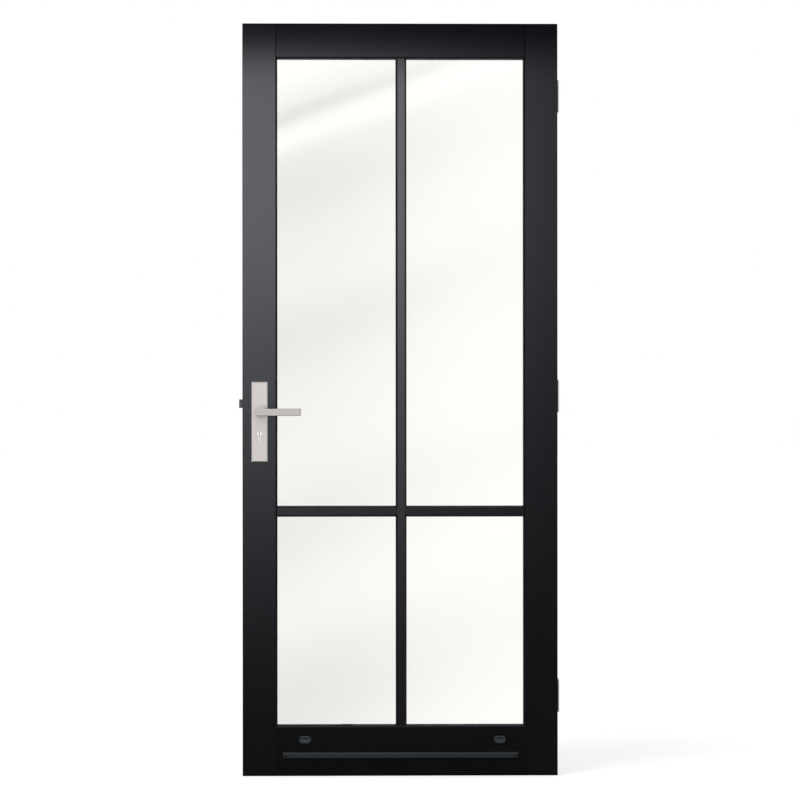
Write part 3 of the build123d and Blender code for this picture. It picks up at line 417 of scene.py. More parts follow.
# %% The sun
SUN_ENERGY = 0.8
SUN_SPREAD, SUN_TILT, SUN_FROM = math.radians(30), math.radians(39), math.radians(-39)
sun_data = bpy.data.lights.new("broad_sun", "SUN")
sun_data.energy = SUN_ENERGY
sun_data.angle = SUN_SPREAD
sun = put_in_scene("broad_sun", sun_data)
sun.rotation_euler = (SUN_TILT, 0.0, SUN_FROM)
sun.visible_camera = False
print("sun:", sun_data.energy)

# %% [markdown]
# ## Shared surface effects
#
# Real finishes are never one flat colour. Four small groups hold the effects that several finishes share: the
# fine dimples of sprayed paint with grain that shows through, the hairlines of brushed metal, the soft smudges
# that hands and cloths leave, and the dust that settles on ledges. Each group only gives values that vary over the
# surface. The shader itself stays in the material. Every pattern is measured in metres on the piece.


# %% Group: sprayed paint over timber
def make_sprayed_timber():
    tree, feed, out = new_group("sprayed_timber", "ShaderNodeTree", [
        ("Vector", "NodeSocketVector", None), ("Dimple Scale", "NodeSocketFloat", 620.0),
        ("Grain Stretch", "NodeSocketVector", (1.0, 1.0, 0.02)), ("Grain Share", "NodeSocketFloat", 0.5)],
        [("Height", "NodeSocketFloat"), ("Patch", "NodeSocketFloat")])
    vector = feed.outputs["Vector"]
    dimples = noise_of(tree, vector, feed.outputs["Dimple Scale"], 1.0)
    stretched = stretch_of(tree, vector, feed.outputs["Grain Stretch"])
    grain = noise_of(tree, stretched, 260.0, 3.0, Roughness=0.6, Distortion=0.4)
    pores = ramp_of(tree, grain, 0.35, 0.62, kind="LINEAR")
    share = product_of(tree, pores, feed.outputs["Grain Share"])
    height = math_of(tree, "ADD", product_of(tree, dimples, 0.6), share)
    tree.links.new(height, out.inputs["Height"])
    tree.links.new(noise_of(tree, vector, 5.0, 3.0), out.inputs["Patch"])
    return tree


sprayed_timber = make_sprayed_timber()
print("group:", sprayed_timber.name)


# %% Group: brushed hairlines
def make_brushed_lines():
    tree, feed, out = new_group("brushed_lines", "ShaderNodeTree", [
        ("Vector", "NodeSocketVector", None), ("Stretch", "NodeSocketVector", (1.0, 1.0, 0.015)),
        ("Line Scale", "NodeSocketFloat", 2600.0)], [("Lines", "NodeSocketFloat"), ("Sheen", "NodeSocketFloat")])
    stretched = stretch_of(tree, feed.outputs["Vector"], feed.outputs["Stretch"])
    line_scale = feed.outputs["Line Scale"]
    fine = noise_of(tree, stretched, line_scale, 2.0, Roughness=0.7)
    broad = noise_of(tree, stretched, product_of(tree, line_scale, 0.13), 2.0)
    tree.links.new(fine, out.inputs["Lines"])
    tree.links.new(broad, out.inputs["Sheen"])
    return tree


brushed_lines = make_brushed_lines()
print("group:", brushed_lines.name)


# %% Group: soft smudges
def make_soft_smudges():
    tree, feed, out = new_group("soft_smudges", "ShaderNodeTree", [
        ("Vector", "NodeSocketVector", None), ("Smudge Scale", "NodeSocketFloat", 30.0),
        ("Cover", "NodeSocketFloat", 0.5)], [("Mask", "NodeSocketFloat")])
    cloud = noise_of(tree, feed.outputs["Vector"], feed.outputs["Smudge Scale"], 4.0, Distortion=0.8)
    edge = math_of(tree, "SUBTRACT", 1.0, feed.outputs["Cover"])
    mask = ramp_of(tree, cloud, edge, math_of(tree, "ADD", edge, 0.25))
    tree.links.new(mask, out.inputs["Mask"])
    return tree


soft_smudges = make_soft_smudges()
print("group:", soft_smudges.name)


# %% Group: dust that settles on ledges
def make_settled_dust():
    tree, feed, out = new_group("settled_dust", "ShaderNodeTree", [
        ("Vector", "NodeSocketVector", None), ("Amount", "NodeSocketFloat", 0.3)], [("Mask", "NodeSocketFloat")])
    normal = place(tree, "ShaderNodeSeparateXYZ", {"Vector": place(tree, "ShaderNodeNewGeometry").outputs["Normal"]})
    ledge = ramp_of(tree, normal.outputs["Z"], 0.45, 0.95)
    cloud = noise_of(tree, feed.outputs["Vector"], 55.0, 5.0)
    tree.links.new(product_of(tree, ledge, cloud, feed.outputs["Amount"]), out.inputs["Mask"])
    return tree


settled_dust = make_settled_dust()
print("group:", settled_dust.name)

# %% [markdown]
# ## The finishes
#
# Each finish is one material with its own shader. `start_finish` makes the empty material, and `use` places one of
# the groups in it. Values that are the same all over a surface, such as how metallic it is, are set on the
# shader's own sockets, so that they survive when the door is exported.


# %% Helpers for finishes
def spaced(settings):
    return {name.replace("_", " "): value for name, value in settings.items()}


def start_finish(name, **constants):
    finish, tree = new_material(name)
    shader = place(tree, "ShaderNodeBsdfPrincipled", spaced(constants))
    place(tree, "ShaderNodeOutputMaterial", {"Surface": shader.outputs[0]})
    return finish, tree, shader, place(tree, "ShaderNodeTexCoord").outputs["Object"]


def use(tree, group, **values):
    return place(tree, "ShaderNodeGroup", spaced(values), node_tree=group)


def between(tree, mask, first, second):
    if isinstance(first, tuple):
        return mix_of(tree, mask, (*first, 1), (*second, 1), "RGBA")
    return mix_of(tree, mask, first, second)


def drive_socket(tree, shader, label, value):
    tree.links.new(value, shader.inputs[label])


def bump(tree, shader, height, depth, strength):
    node = place(tree, "ShaderNodeBump", {"Height": height, "Distance": depth, "Strength": strength})
    drive_socket(tree, shader, "Normal", node.outputs[0])


def tinted(colour, share):
    return tuple(share * c for c in colour)


print("finish helpers ready")

# %% [markdown]
# ### Black satin paint
#
# The door is sprayed with a very dark, slightly blue black. The film is nearly smooth: fine dimples of about two
# millimetres, and a whisper of the grain underneath, which runs along each timber. That is why the upright
# timbers and the level ones get two materials, each with the grain stretched along its timber. The level ones
# also get less gloss, which is painted shade that makes the rails darker than the stiles. The glazing bars are
# slim mouldings with a tighter, glossier film, and the upright bar gets more gloss than the level ones, which is
# a painted highlight that makes it brighter.


# %% Black satin paint
def satin_paint(name, stretch, black, roughness, gloss):
    finish, tree, shader, vector = start_finish(name, IOR=1.5, Specular_IOR_Level=gloss)
    film = use(tree, sprayed_timber, Vector=vector, Grain_Stretch=stretch, Grain_Share=0.35)
    dust = use(tree, settled_dust, Vector=vector, Amount=0.25)
    patch = film.outputs["Patch"]
    colour = between(tree, patch, tinted(black, 0.82), black)
    dusty = mix_of(tree, dust.outputs["Mask"], colour, (0.10, 0.10, 0.10, 1), "RGBA")
    drive_socket(tree, shader, "Base Color", dusty)
    drive_socket(tree, shader, "Roughness", between(tree, patch, roughness - 0.03, roughness + 0.03))
    bump(tree, shader, film.outputs["Height"], 0.00002, 0.5)
    return finish


BLACK, BAR_BLACK = (0.0026, 0.0032, 0.0052), (0.0028, 0.0034, 0.0056)
ALONG_Z, ALONG_X, ALONG_Y = (1.0, 1.0, 0.02), (0.02, 1.0, 1.0), (1.0, 0.02, 1.0)
paint_upright = satin_paint("paint_upright_timber", ALONG_Z, BLACK, 0.22, 0.5)
# The level timbers get less gloss than the upright ones, 0.42 against 0.5: painted shade that makes the rails darker.
paint_level_painted_shade = satin_paint("level_timber_paint_with_painted_shade", ALONG_X, BLACK, 0.22, 0.42)
# The upright bar gets more gloss than the level bars, 0.82 against 0.55: a painted highlight that makes it brighter.
paint_bar_upright_painted_highlight = satin_paint("upright_bar_paint_with_painted_highlight", ALONG_Z, BAR_BLACK, 0.17, 0.82)
paint_bar_level = satin_paint("paint_level_bar", ALONG_X, BAR_BLACK, 0.20, 0.55)
paints = (paint_upright, paint_level_painted_shade, paint_bar_upright_painted_highlight, paint_bar_level)
print("paints:", [finish.name for finish in paints])

# %% [markdown]
# ### Brushed stainless steel
#
# The plates, levers and hinges are stainless steel with a brushed finish. The hairlines run along each piece, so
# they are stretched along it. They roughen the surface and make tiny grooves, which draw highlights out across
# the grain, and fingers leave faint smudges. Steel could also get an anisotropic shader, but grooves do the same.


# %% Brushed stainless steel
def brushed_steel(name, stretch, colour, roughness=0.42, depth=0.000006):
    finish, tree, shader, vector = start_finish(name, Metallic=1.0)
    hair = use(tree, brushed_lines, Vector=vector, Stretch=stretch)
    hands = use(tree, soft_smudges, Vector=vector, Smudge_Scale=45.0, Cover=0.42)
    drive_socket(tree, shader, "Base Color", between(tree, hair.outputs["Sheen"], tinted(colour, 0.90), colour))
    rough = between(tree, hair.outputs["Lines"], roughness - 0.05, roughness + 0.07)
    rough = math_of(tree, "ADD", rough, product_of(tree, hands.outputs["Mask"], 0.06))
    drive_socket(tree, shader, "Roughness", rough)
    bump(tree, shader, hair.outputs["Lines"], depth, 0.8)
    return finish


STAINLESS = (0.620, 0.584, 0.566)
NO_GRAIN = (1.0, 1.0, 1.0)
steel_upright = brushed_steel("stainless_brushed_upright", ALONG_Z, STAINLESS)
# The levers get the same stainless at 0.83 of its colour: painted shade that makes them darker than the plates.
steel_level_painted_shade = brushed_steel("stainless_brushed_level_painted_shade", ALONG_X, tinted(STAINLESS, 0.83))
steel_rim = brushed_steel("stainless_polished_edge", ALONG_Z, (0.66, 0.64, 0.63), 0.22)
zinc = brushed_steel("zinc_plated_steel", NO_GRAIN, (0.55, 0.56, 0.57), 0.36, 0.000003)
dark_zinc = brushed_steel("black_zinc_plated_steel", NO_GRAIN, (0.045, 0.045, 0.048), 0.42, 0.000003)
blued_spring = brushed_steel("blued_spring_steel", ALONG_Y, (0.23, 0.24, 0.27), 0.30)
nickel = brushed_steel("satin_nickel_on_brass", NO_GRAIN, (0.62, 0.60, 0.58), 0.28, 0.000003)
# The plugs get a paler, smoother nickel than the body: partly a polished face, partly a painted highlight for the
# bright ring on it.
polished_nickel_painted_highlight = brushed_steel("nickel_on_brass_with_painted_highlight", NO_GRAIN, (0.84, 0.82, 0.79), 0.20, 0.000002)
metals = (steel_upright, steel_level_painted_shade, steel_rim, zinc, dark_zinc, blued_spring, nickel, polished_nickel_painted_highlight)
print("metals:", [finish.name for finish in metals])

# %% [markdown]
# ### Glass
#
# Clear float glass is almost nothing but its reflections. It has no roughness, a trace of green in its
# depth, and very long, very shallow waves from the roller line.


# %% Glass
def clear_glass(name):
    finish, tree, shader, vector = start_finish(
        name, Transmission_Weight=1.0, Metallic=0.0, Roughness=0.0, IOR=1.52, Base_Color=(0.987, 0.979, 0.966, 1.0))
    bump(tree, shader, noise_of(tree, vector, 2.5, 0.0), 0.0004, 0.5)
    return finish


glass = clear_glass("clear_float_glass")
print("glass:", glass.name)

# %% [markdown]
# ### Rubber, plastics and powder coat
#
# The seals are matt rubber. The packers, the caps and the bushes are moulded plastic, with the fine spark-eroded
# texture of a mould. The weather bar is aluminium with a powder coat, which is a little coarser and catches dust
# on its slope. One recipe covers them all, with its own colour, roughness and texture size.


# %% Moulded and coated surfaces
def moulded(name, colour, roughness, texture_scale, depth, dust_amount=0.25, gloss=0.5):
    finish, tree, shader, vector = start_finish(name, Specular_IOR_Level=gloss)
    cloud = use(tree, soft_smudges, Vector=vector, Smudge_Scale=22.0, Cover=0.5).outputs["Mask"]
    dust = use(tree, settled_dust, Vector=vector, Amount=dust_amount).outputs["Mask"]
    shade = between(tree, cloud, tinted(colour, 0.9), tinted(colour, 1.06))
    drive_socket(tree, shader, "Base Color", mix_of(tree, dust, shade, (0.16, 0.155, 0.15, 1), "RGBA"))
    drive_socket(tree, shader, "Roughness", between(tree, cloud, roughness - 0.04, roughness + 0.05))
    bump(tree, shader, noise_of(tree, vector, texture_scale, 2.0), depth, 0.6)
    return finish


rubber = moulded("seal_rubber", (0.0065, 0.0065, 0.007), 0.62, 900.0, 0.00003, 0.2, 0.3)
black_plastic = moulded("black_packer_plastic", (0.007, 0.007, 0.0075), 0.5, 1500.0, 0.00002, 0.2)
cap_plastic = moulded("grey_cap_plastic", (0.060, 0.070, 0.075), 0.45, 1800.0, 0.00002)
end_cap_plastic = moulded("grey_end_cap_plastic", (0.034, 0.034, 0.035), 0.45, 1800.0, 0.00002)
powder_coat = moulded("grey_powder_coat", (0.039, 0.048, 0.053), 0.45, 1300.0, 0.00003, 0.05, 0.25)
spacer_coat = moulded("black_spacer_coat", (0.006, 0.006, 0.0065), 0.45, 1300.0, 0.00002, 0.0)
nylon = moulded("natural_nylon", (0.70, 0.69, 0.64), 0.40, 1500.0, 0.00002, 0.1)
coats = (rubber, black_plastic, cap_plastic, end_cap_plastic, powder_coat, spacer_coat, nylon)
print("moulded and coated:", [finish.name for finish in coats])

# %% [markdown]
# ### Bare beech
#
# The glue dowels are hidden in the joints, but they show where the door is taken apart. Beech has short, fine
# flecks along its length.


# %% Bare beech
def bare_beech(name):
    finish, tree, shader, vector = start_finish(name, Specular_IOR_Level=0.3)
    flecks = noise_of(tree, stretch_of(tree, vector, (0.08, 1.0, 1.0)), 700.0, 3.0)
    drive_socket(tree, shader, "Base Color", between(tree, flecks, (0.50, 0.30, 0.16), (0.70, 0.50, 0.31)))
    drive_socket(tree, shader, "Roughness", between(tree, flecks, 0.55, 0.7))
    bump(tree, shader, flecks, 0.00004, 0.5)
    return finish


beech = bare_beech("bare_beech")
print("timber:", beech.name)

# %% [markdown]
# ## Dress the solids
#
# Every solid that stays visible gets its finish through its own material slots. The table goes from the finish to
# the names of the solids.

# %% Give each solid its finish
wardrobe = {
    paint_upright: ["lock_stile", "hinge_stile", "bead_lock_side", "bead_hinge_side"],
    paint_level_painted_shade: ["top_rail", "bottom_rail", "bead_top", "bead_bottom"],
    paint_bar_upright_painted_highlight: ["bar_outer_upright", "bar_inner_upright"],
    paint_bar_level: ["bar_outer_left", "bar_outer_right", "bar_inner_left", "bar_inner_right"],
    beech: ["frame_dowels"],
    glass: ["outer_pane", "inner_pane"],
    rubber: ["outer_glazing_seal", "inner_glazing_seal", "edge_sealant", "bar_tapes"],
    black_plastic: ["setting_blocks", "glazing_shim"],
    cap_plastic: ["drain_caps"],
    end_cap_plastic: ["weather_bar_caps"],
    powder_coat: ["weather_bar"],
    spacer_coat: ["spacer_frame", "spacer_grid"],
    nylon: ["lever_bushes"],
    steel_upright: ["outer_backplate", "inner_backplate", "lock_faceplate", "hinge_pins"]
    + [f"hinge_{place_name}_{side}_flap" for place_name in ("top", "middle", "bottom") for side in ("leaf", "frame")],
    steel_level_painted_shade: ["outer_lever", "inner_lever"],
    zinc: ["bead_screws", "plate_screws", "faceplate_screws", "hinge_screws", "cylinder_screw", "lever_grub_screws",
           "lock_case", "lock_cover", "spindle", "follower", "latch_bolt", "dead_bolt"],
    dark_zinc: ["weather_bar_screws"],
    blued_spring: ["latch_spring", "follower_spring"],
    nickel: ["cylinder_body", "cylinder_cam"],
    polished_nickel_painted_highlight: ["cylinder_plug_outer", "cylinder_plug_inner"],
}
for finish, names in wardrobe.items():
    for name in names:
        solid = frame["nodes"][name]
        if not solid.material_slots:
            solid.data.materials.append(finish)
        for material_slot in solid.material_slots:
            material_slot.material = finish
undressed = set(frame["nodes"]) - {name for names in wardrobe.values() for name in names}
print("dressed:", sum(len(names) for names in wardrobe.values()), "left over:", undressed)

# %% [markdown]
# ## Soft edges on the metalwork
#
# A sheared and brushed plate never has a knife edge: a fine round, about a third of a millimetre, catches the
# light as a bright line. The solids have plain bevels there. Each metal piece is copied, its triangles are merged
# back into flat faces, and a Bevel modifier rounds what is still sharp. The rounds are shaded smooth, while large
# faces stay flat, or the light would bend across them. Changing the solid itself would need a new CAD model for a
# detail this small.


# %% Helper: a softened copy of a solid
WELD = 0.000002
LARGE_FACE = 0.00004
COPLANAR, SHARP_EDGE, SHADED_EDGE = math.radians(1.0), math.radians(25.0), math.radians(32.0)


def cleaned_copy(solid_name):
    cleaner = bmesh.new()
    cleaner.from_mesh(frame["nodes"][solid_name].data)
    bmesh.ops.remove_doubles(cleaner, verts=cleaner.verts, dist=WELD)
    bmesh.ops.dissolve_limit(cleaner, angle_limit=COPLANAR, verts=cleaner.verts, edges=cleaner.edges)
    bmesh.ops.recalc_face_normals(cleaner, faces=cleaner.faces)
    return cleaner


def stand_in(mesh, piece_name, solid_name, finish, body):
    mesh.materials.clear()
    mesh.materials.append(finish)
    mesh.shade_smooth()
    mesh.set_sharp_from_angle(angle=SHADED_EDGE)
    for polygon in mesh.polygons:
        polygon.use_smooth = polygon.area < LARGE_FACE
    return seat(mesh, piece_name, body, solid_name)


def softened(solid_name, piece_name, round_width, finish, body):
    rough_name = piece_name + "_rough"
    rough_piece = put_in_scene(rough_name, mesh_from(cleaned_copy(solid_name), rough_name))
    bevel = rough_piece.modifiers.new("round", "BEVEL")
    bevel.width, bevel.segments = round_width, 3
    bevel.limit_method, bevel.angle_limit = "ANGLE", SHARP_EDGE
    finished = evaluated_mesh(rough_piece)
    bpy.data.objects.remove(rough_piece)
    return stand_in(finished, piece_name, solid_name, finish, body)


print("helper ready")

# %% Soften the handle set
soft_pieces = [
    softened("outer_backplate", "soft_plate_weather_side", 0.0003, steel_upright, "leaf"),
    softened("inner_backplate", "soft_plate_room_side", 0.0003, steel_upright, "leaf"),
    softened("outer_lever", "soft_lever_weather_side", 0.0003, steel_level_painted_shade, "lever_set"),
    softened("inner_lever", "soft_lever_room_side", 0.0003, steel_level_painted_shade, "lever_set"),
    softened("cylinder_plug_outer", "soft_plug_weather_side", 0.00012, polished_nickel_painted_highlight, "key_set"),
    softened("cylinder_plug_inner", "soft_plug_room_side", 0.00012, polished_nickel_painted_highlight, "key_set"),
    softened("cylinder_body", "soft_cylinder_body", 0.0002, nickel, "leaf"),
    softened("lock_faceplate", "soft_faceplate", 0.00025, steel_upright, "leaf"),
    softened("weather_bar", "soft_weather_bar", 0.0005, powder_coat, "leaf"),
    softened("weather_bar_caps", "soft_weather_bar_caps", 0.0005, end_cap_plastic, "leaf"),
    softened("drain_caps", "soft_drain_caps", 0.0003, cap_plastic, "leaf"),
]
print("softened:", {piece.name: len(piece.data.polygons) for piece in soft_pieces})

# %% [markdown]
# ## Pin tips in the keyways
#
# A keyway looks dark because it is deep and steel pins fill it from behind. Five small rounded tips sit a little
# way inside each plug, in black zinc: their black is painted shade for the deep keyway, and they give something to
# see when the camera comes close. They turn with the plug.

# %% Set the pin tips
TIP_SIZE = Vector((0.0022, 0.0016, 0.0014))
TIP_INSET, TIP_PITCH, TIP_ROUND = 0.0014, 0.0016, 0.0003


def pin_tips(plug_name, piece_name, mouth_side):
    low, high = (Vector(corner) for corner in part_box(plug_name))
    first_tip = (low + high) / 2
    mouth = low.y if mouth_side < 0 else high.y
    first_tip.y = mouth - mouth_side * (TIP_INSET + TIP_SIZE.y / 2)
    maker = bmesh.new()
    for step in (-2, -1, 0, 1, 2):
        spot = first_tip + Vector((0.0, 0.0, step * TIP_PITCH))
        bmesh.ops.create_cube(maker, size=1.0, matrix=Matrix.Translation(spot) @ Matrix.Diagonal((*TIP_SIZE, 1.0)))
    bmesh.ops.bevel(maker, geom=maker.edges[:], offset=TIP_ROUND, segments=2, affect="EDGES")
    bmesh.ops.recalc_face_normals(maker, faces=maker.faces)
    mesh = mesh_from(maker, piece_name)
    # The black zinc on the tips is painted shade for the deep keyway.
    mesh.materials.append(dark_zinc)
    return seat(mesh, piece_name, "key_set")


tips = [
    pin_tips("cylinder_plug_outer", "pin_tips_weather_side", -1),
    pin_tips("cylinder_plug_inner", "pin_tips_room_side", 1),
]
print("pin tips:", {piece.name: len(piece.data.polygons) for piece in tips})

# %% [markdown]
# ## Joint lines at the top corners
#
# A rail that butts against a stile has its front corners eased. The paint would crack along a flush joint, and in
# the small groove no crack shows. From a few metres away it is a thin dark line. The joint in the solids is under a
# millimetre wide. Sanding opens it, so the rail's corners beside each stile move back a little here.

# %% Ease the ends of the top rail
GROOVE = 0.0016
ON_FACE, IN_JOINT = 0.0002, 0.0006
RAIL_MIDDLE = 2.05
rail = cleaned_copy("top_rail")
for corner in rail.verts:
    depth = corner.co.y - WEATHER_FACE
    inwards = -GROOVE if corner.co.x > 0 else GROOVE
    if depth < ON_FACE:
        corner.co.x += inwards
    elif depth < IN_JOINT:
        corner.co.y += GROOVE
        if corner.co.z < RAIL_MIDDLE:
            corner.co += Vector((inwards, 0.0, -GROOVE))
rail_mesh = mesh_from(rail, "eased_top_rail")
eased_rail = stand_in(rail_mesh, "eased_top_rail", "top_rail", paint_level_painted_shade, "leaf")
print("eased:", eased_rail.name, len(eased_rail.data.polygons), "faces")

# %% [markdown]
# ## Screws with cross recesses
#
# The solids of the screws are plain countersunk shapes. A real screw has a cross recess, and no two are turned the
# same way when they are driven home. One screw is turned from its profile like work on a lathe, and a Geometry
# Nodes tree cuts its recess and sets a copy at every place, rolled by a random angle from a fixed seed. Copying
# by hand would repeat the same work forty-six times. The places and sizes are read from the solids.


# %% Find where the screws are
def loose_parts(solid_name):
    merged = bmesh.new()
    merged.from_mesh(frame["nodes"][solid_name].data)
    bmesh.ops.remove_doubles(merged, verts=merged.verts, dist=WELD)
    seen_vertices, parts = set(), []
    for start in merged.verts:
        if start in seen_vertices:
            continue
        part, waiting = [], [start]
        seen_vertices.add(start)
        while waiting:
            vertex = waiting.pop()
            part.append(tuple(vertex.co))
            for edge in vertex.link_edges:
                other = edge.other_vert(vertex)
                if other not in seen_vertices:
                    seen_vertices.add(other)
                    waiting.append(other)
        parts.append(np.array(part))
    merged.free()
    return parts


END_SLICE = 0.0003
def screw_place(part):
    low, high = part.min(0), part.max(0)
    along = int(np.argmax(high - low))
    middle = (low + high) / 2
    radii = np.linalg.norm(np.delete(part - middle, along, axis=1), axis=1)
    near_high = radii[part[:, along] > high[along] - END_SLICE].max()
    near_low = radii[part[:, along] < low[along] + END_SLICE].max()
    outward = np.zeros(3)
    outward[along] = 1.0 if near_high > near_low else -1.0
    head = middle.copy()
    head[along] = high[along] if near_high > near_low else low[along]
    return head, outward, float((high - low)[along]), float(radii.max())


screw_parts = {name: [screw_place(part) for part in loose_parts(name)] for name in (
    "bead_screws", "plate_screws", "faceplate_screws", "hinge_screws", "cylinder_screw", "weather_bar_screws")}
print("screws found:", {name: len(places) for name, places in screw_parts.items()})


# %% Turn one screw from its profile
SHANK_SHARE = 0.54
LAND, EASED_EDGE, POINT_RADIUS = 0.0004, 0.00015, 0.0001
TURNING_STEPS = 28


def turned_screw(name, head_radius, length, finish):
    shank = head_radius * SHANK_SHARE
    profile = [(head_radius - EASED_EDGE, 0.0), (head_radius, -EASED_EDGE), (head_radius, -LAND),
               (shank, -LAND - (head_radius - shank)), (shank, -length + shank), (POINT_RADIUS, -length)]
    turns = [math.tau * k / TURNING_STEPS for k in range(TURNING_STEPS)]
    turner = bmesh.new()
    rings = [[turner.verts.new((r * math.cos(turn), r * math.sin(turn), z)) for turn in turns] for r, z in profile]
    for upper, lower in zip(rings, rings[1:]):
        for k in range(TURNING_STEPS):
            after = (k + 1) % TURNING_STEPS
            turner.faces.new((upper[k], lower[k], lower[after], upper[after]))
    turner.faces.new(rings[0])
    turner.faces.new(rings[-1][::-1])
    bmesh.ops.recalc_face_normals(turner, faces=turner.faces)
    mesh = mesh_from(turner, name)
    mesh.materials.append(finish)
    return put_in_scene(name, mesh)


print("screw lathe ready")


# %% The tree that cuts the recess and drives the screws
def make_driven_screws():
    tree, feed, out = new_group("driven_screws", "GeometryNodeTree", [
        ("Geometry", "NodeSocketGeometry", None), ("Screw", "NodeSocketObject", None),
        ("Recess Span", "NodeSocketFloat", 0.004), ("Recess Width", "NodeSocketFloat", 0.001),
        ("Recess Depth", "NodeSocketFloat", 0.002), ("Seed", "NodeSocketInt", 7),
        ("Finish", "NodeSocketMaterial", None)], [("Geometry", "NodeSocketGeometry")])
    blank = place(tree, "GeometryNodeObjectInfo", {"Object": feed.outputs["Screw"]}, transform_space="ORIGINAL")
    deep = product_of(tree, feed.outputs["Recess Depth"], 2.0)
    span, width = feed.outputs["Recess Span"], feed.outputs["Recess Width"]
    arms = []
    for x, y in ((span, width), (width, span)):
        size = place(tree, "ShaderNodeCombineXYZ", {"X": x, "Y": y, "Z": deep})
        arms.append(place(tree, "GeometryNodeMeshCube", {"Size": size.outputs[0]}))
    cut = tree.nodes.new("GeometryNodeMeshBoolean")
    cut.operation = "DIFFERENCE"
    tree.links.new(blank.outputs["Geometry"], cut.inputs["Mesh 1"])
    for arm in arms:
        tree.links.new(arm.outputs["Mesh"], cut.inputs["Mesh 2"])
    outward = place(tree, "GeometryNodeInputNamedAttribute", {"Name": "outward"}, data_type="FLOAT_VECTOR")
    turn = place(tree, "FunctionNodeAlignRotationToVector", {"Vector": outward.outputs["Attribute"]}, axis="Z")
    roll = place(tree, "FunctionNodeRandomValue", {"Min": 0.0, "Max": math.pi, "Seed": feed.outputs["Seed"]},
                 data_type="FLOAT")
    own_axis = place(tree, "FunctionNodeAxisAngleToRotation", {"Axis": (0.0, 0.0, 1.0), "Angle": live_output(roll)})
    rolled = place(tree, "FunctionNodeRotateRotation", {
        "Rotation": turn.outputs["Rotation"], "Rotate By": own_axis.outputs["Rotation"]}, rotation_space="LOCAL")
    copies = place(tree, "GeometryNodeInstanceOnPoints", {
        "Points": feed.outputs["Geometry"], "Instance": cut.outputs["Mesh"], "Rotation": rolled.outputs["Rotation"]})
    solid = place(tree, "GeometryNodeRealizeInstances", {"Geometry": copies.outputs["Instances"]})
    finished = place(tree, "GeometryNodeSetMaterial", {
        "Geometry": solid.outputs["Geometry"], "Material": feed.outputs["Finish"]})
    tree.links.new(finished.outputs["Geometry"], out.inputs["Geometry"])
    return tree


driven_screws = make_driven_screws()
socket_of = {item.name: item.identifier for item in driven_screws.interface.items_tree if item.in_out == "INPUT"}
print("tree inputs:", list(socket_of))


# %% Drive the screws
RECESS_SPAN, RECESS_WIDTH, RECESS_DEPTH = 1.02, 0.24, 0.48
RECESS_EDGE = math.radians(30.0)


def drive(solid_name, piece_name, finish, seed):
    places = screw_parts[solid_name]
    length, head_radius = places[0][2:]
    blank = turned_screw(piece_name + "_blank", head_radius, length, finish)
    points = bpy.data.meshes.new(piece_name + "_places")
    points.from_pydata([tuple(head) for head, *_ in places], [], [])
    outward = points.attributes.new("outward", "FLOAT_VECTOR", "POINT")
    outward.data.foreach_set("vector", np.array([axis for _, axis, *_ in places], np.float32).ravel())
    carrier = put_in_scene(piece_name + "_carrier", points)
    modifier = carrier.modifiers.new("driven_screws", "NODES")
    modifier.node_group = driven_screws
    settings = {"Screw": blank, "Recess Span": head_radius * RECESS_SPAN, "Recess Width": head_radius * RECESS_WIDTH,
                "Recess Depth": head_radius * RECESS_DEPTH, "Seed": seed, "Finish": finish}
    for name, value in settings.items():
        modifier[socket_of[name]] = value
    mesh = evaluated_mesh(carrier)
    for helper_object in (carrier, blank):
        bpy.data.objects.remove(helper_object)
    mesh.shade_smooth()
    mesh.set_sharp_from_angle(angle=RECESS_EDGE)
    return seat(mesh, piece_name, "leaf", solid_name)


driven = [
    drive("bead_screws", "cross_screws_in_beads", zinc, 3),
    drive("plate_screws", "cross_screws_in_plates", steel_rim, 5),
    drive("faceplate_screws", "cross_screws_in_faceplate", steel_rim, 8),
    drive("hinge_screws", "cross_screws_in_hinges", steel_rim, 13),
    drive("cylinder_screw", "cross_screw_in_cylinder", steel_rim, 21),
    drive("weather_bar_screws", "cross_screws_in_weather_bar", dark_zinc, 34),
]
print("screws:", {piece.name: (len(piece.data.polygons), piece.data.materials[0].name) for piece in driven})

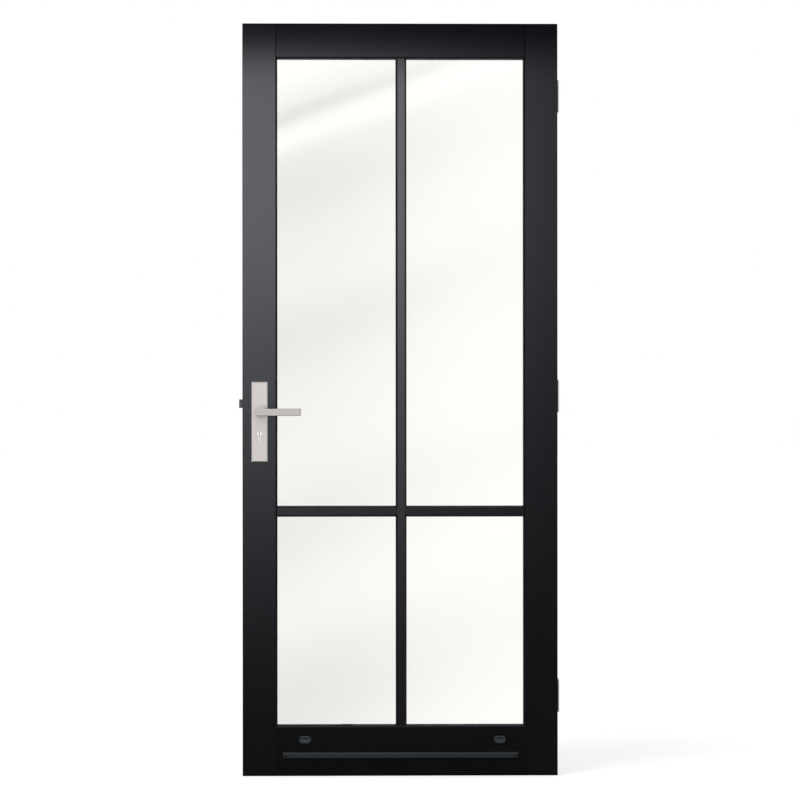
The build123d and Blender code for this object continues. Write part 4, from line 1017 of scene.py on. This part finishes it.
# %% [markdown]
# ## White cards for the steel
#
# Paint and steel want different light. The black paint needs dark sides to keep its bevels deep, while brushed
# steel needs something pale at its sides, or its rims vanish. A photographer puts white cards round the metal and
# keeps them out of the paint. Light linking does the same: a round screen about the door that only the steel can
# see, bright ahead of either face and at both sides, dimmer above. The steel in turn is spared the two tall lights,
# which stand so near that they would grade it from top to bottom.

# %% Stand the cards round the door
steelwork = bpy.data.collections.new("seen_in_the_cards")
steel_finishes = {steel_upright, steel_level_painted_shade, steel_rim, nickel, polished_nickel_painted_highlight}
for thing in list(scene.objects):
    if thing.type == "MESH" and thing.data.materials and thing.data.materials[0] in steel_finishes:
        steelwork.objects.link(thing)
        spare(thing)

CARD_DISTANCE = 3.0
CARD_SIDES, CARD_ABOVE, CARD_AHEAD = 1.1, 0.5, 1.207
SIDES_FROM, SIDES_TO = 0.80 * CARD_DISTANCE, 0.95 * CARD_DISTANCE
AHEAD_FROM, AHEAD_TO = 0.30 * CARD_DISTANCE, 0.70 * CARD_DISTANCE
card_centre = Matrix.Translation((0, 0, HALF_HEIGHT))
card_maker = bmesh.new()
bmesh.ops.create_icosphere(card_maker, subdivisions=3, radius=CARD_DISTANCE, matrix=card_centre)
bmesh.ops.reverse_faces(card_maker, faces=card_maker.faces)
cards = put_in_scene("white_cards", mesh_from(card_maker, "white_cards"))
keep_unseen(cards, steelwork)
card_glow, tree = new_material("white_cards_glow")
spot = place(tree, "ShaderNodeSeparateXYZ", {"Vector": place(tree, "ShaderNodeTexCoord").outputs["Object"]})
sideways = math_of(tree, "ABSOLUTE", spot.outputs["X"])
to_sides = ramp_of(tree, sideways, SIDES_FROM, SIDES_TO, 0.0, CARD_SIDES, "LINEAR")
upwards = ramp_of(tree, spot.outputs["Z"], HALF_HEIGHT + SIDES_FROM, HALF_HEIGHT + SIDES_TO, 0.0, CARD_ABOVE, "LINEAR")
ahead = ramp_of(tree, math_of(tree, "ABSOLUTE", spot.outputs["Y"]), AHEAD_FROM, AHEAD_TO, 0.0, CARD_AHEAD, "LINEAR")
all_round = math_of(tree, "ADD", ahead, math_of(tree, "ADD", to_sides, upwards))
add_glow(cards, card_glow, WHITE, all_round)
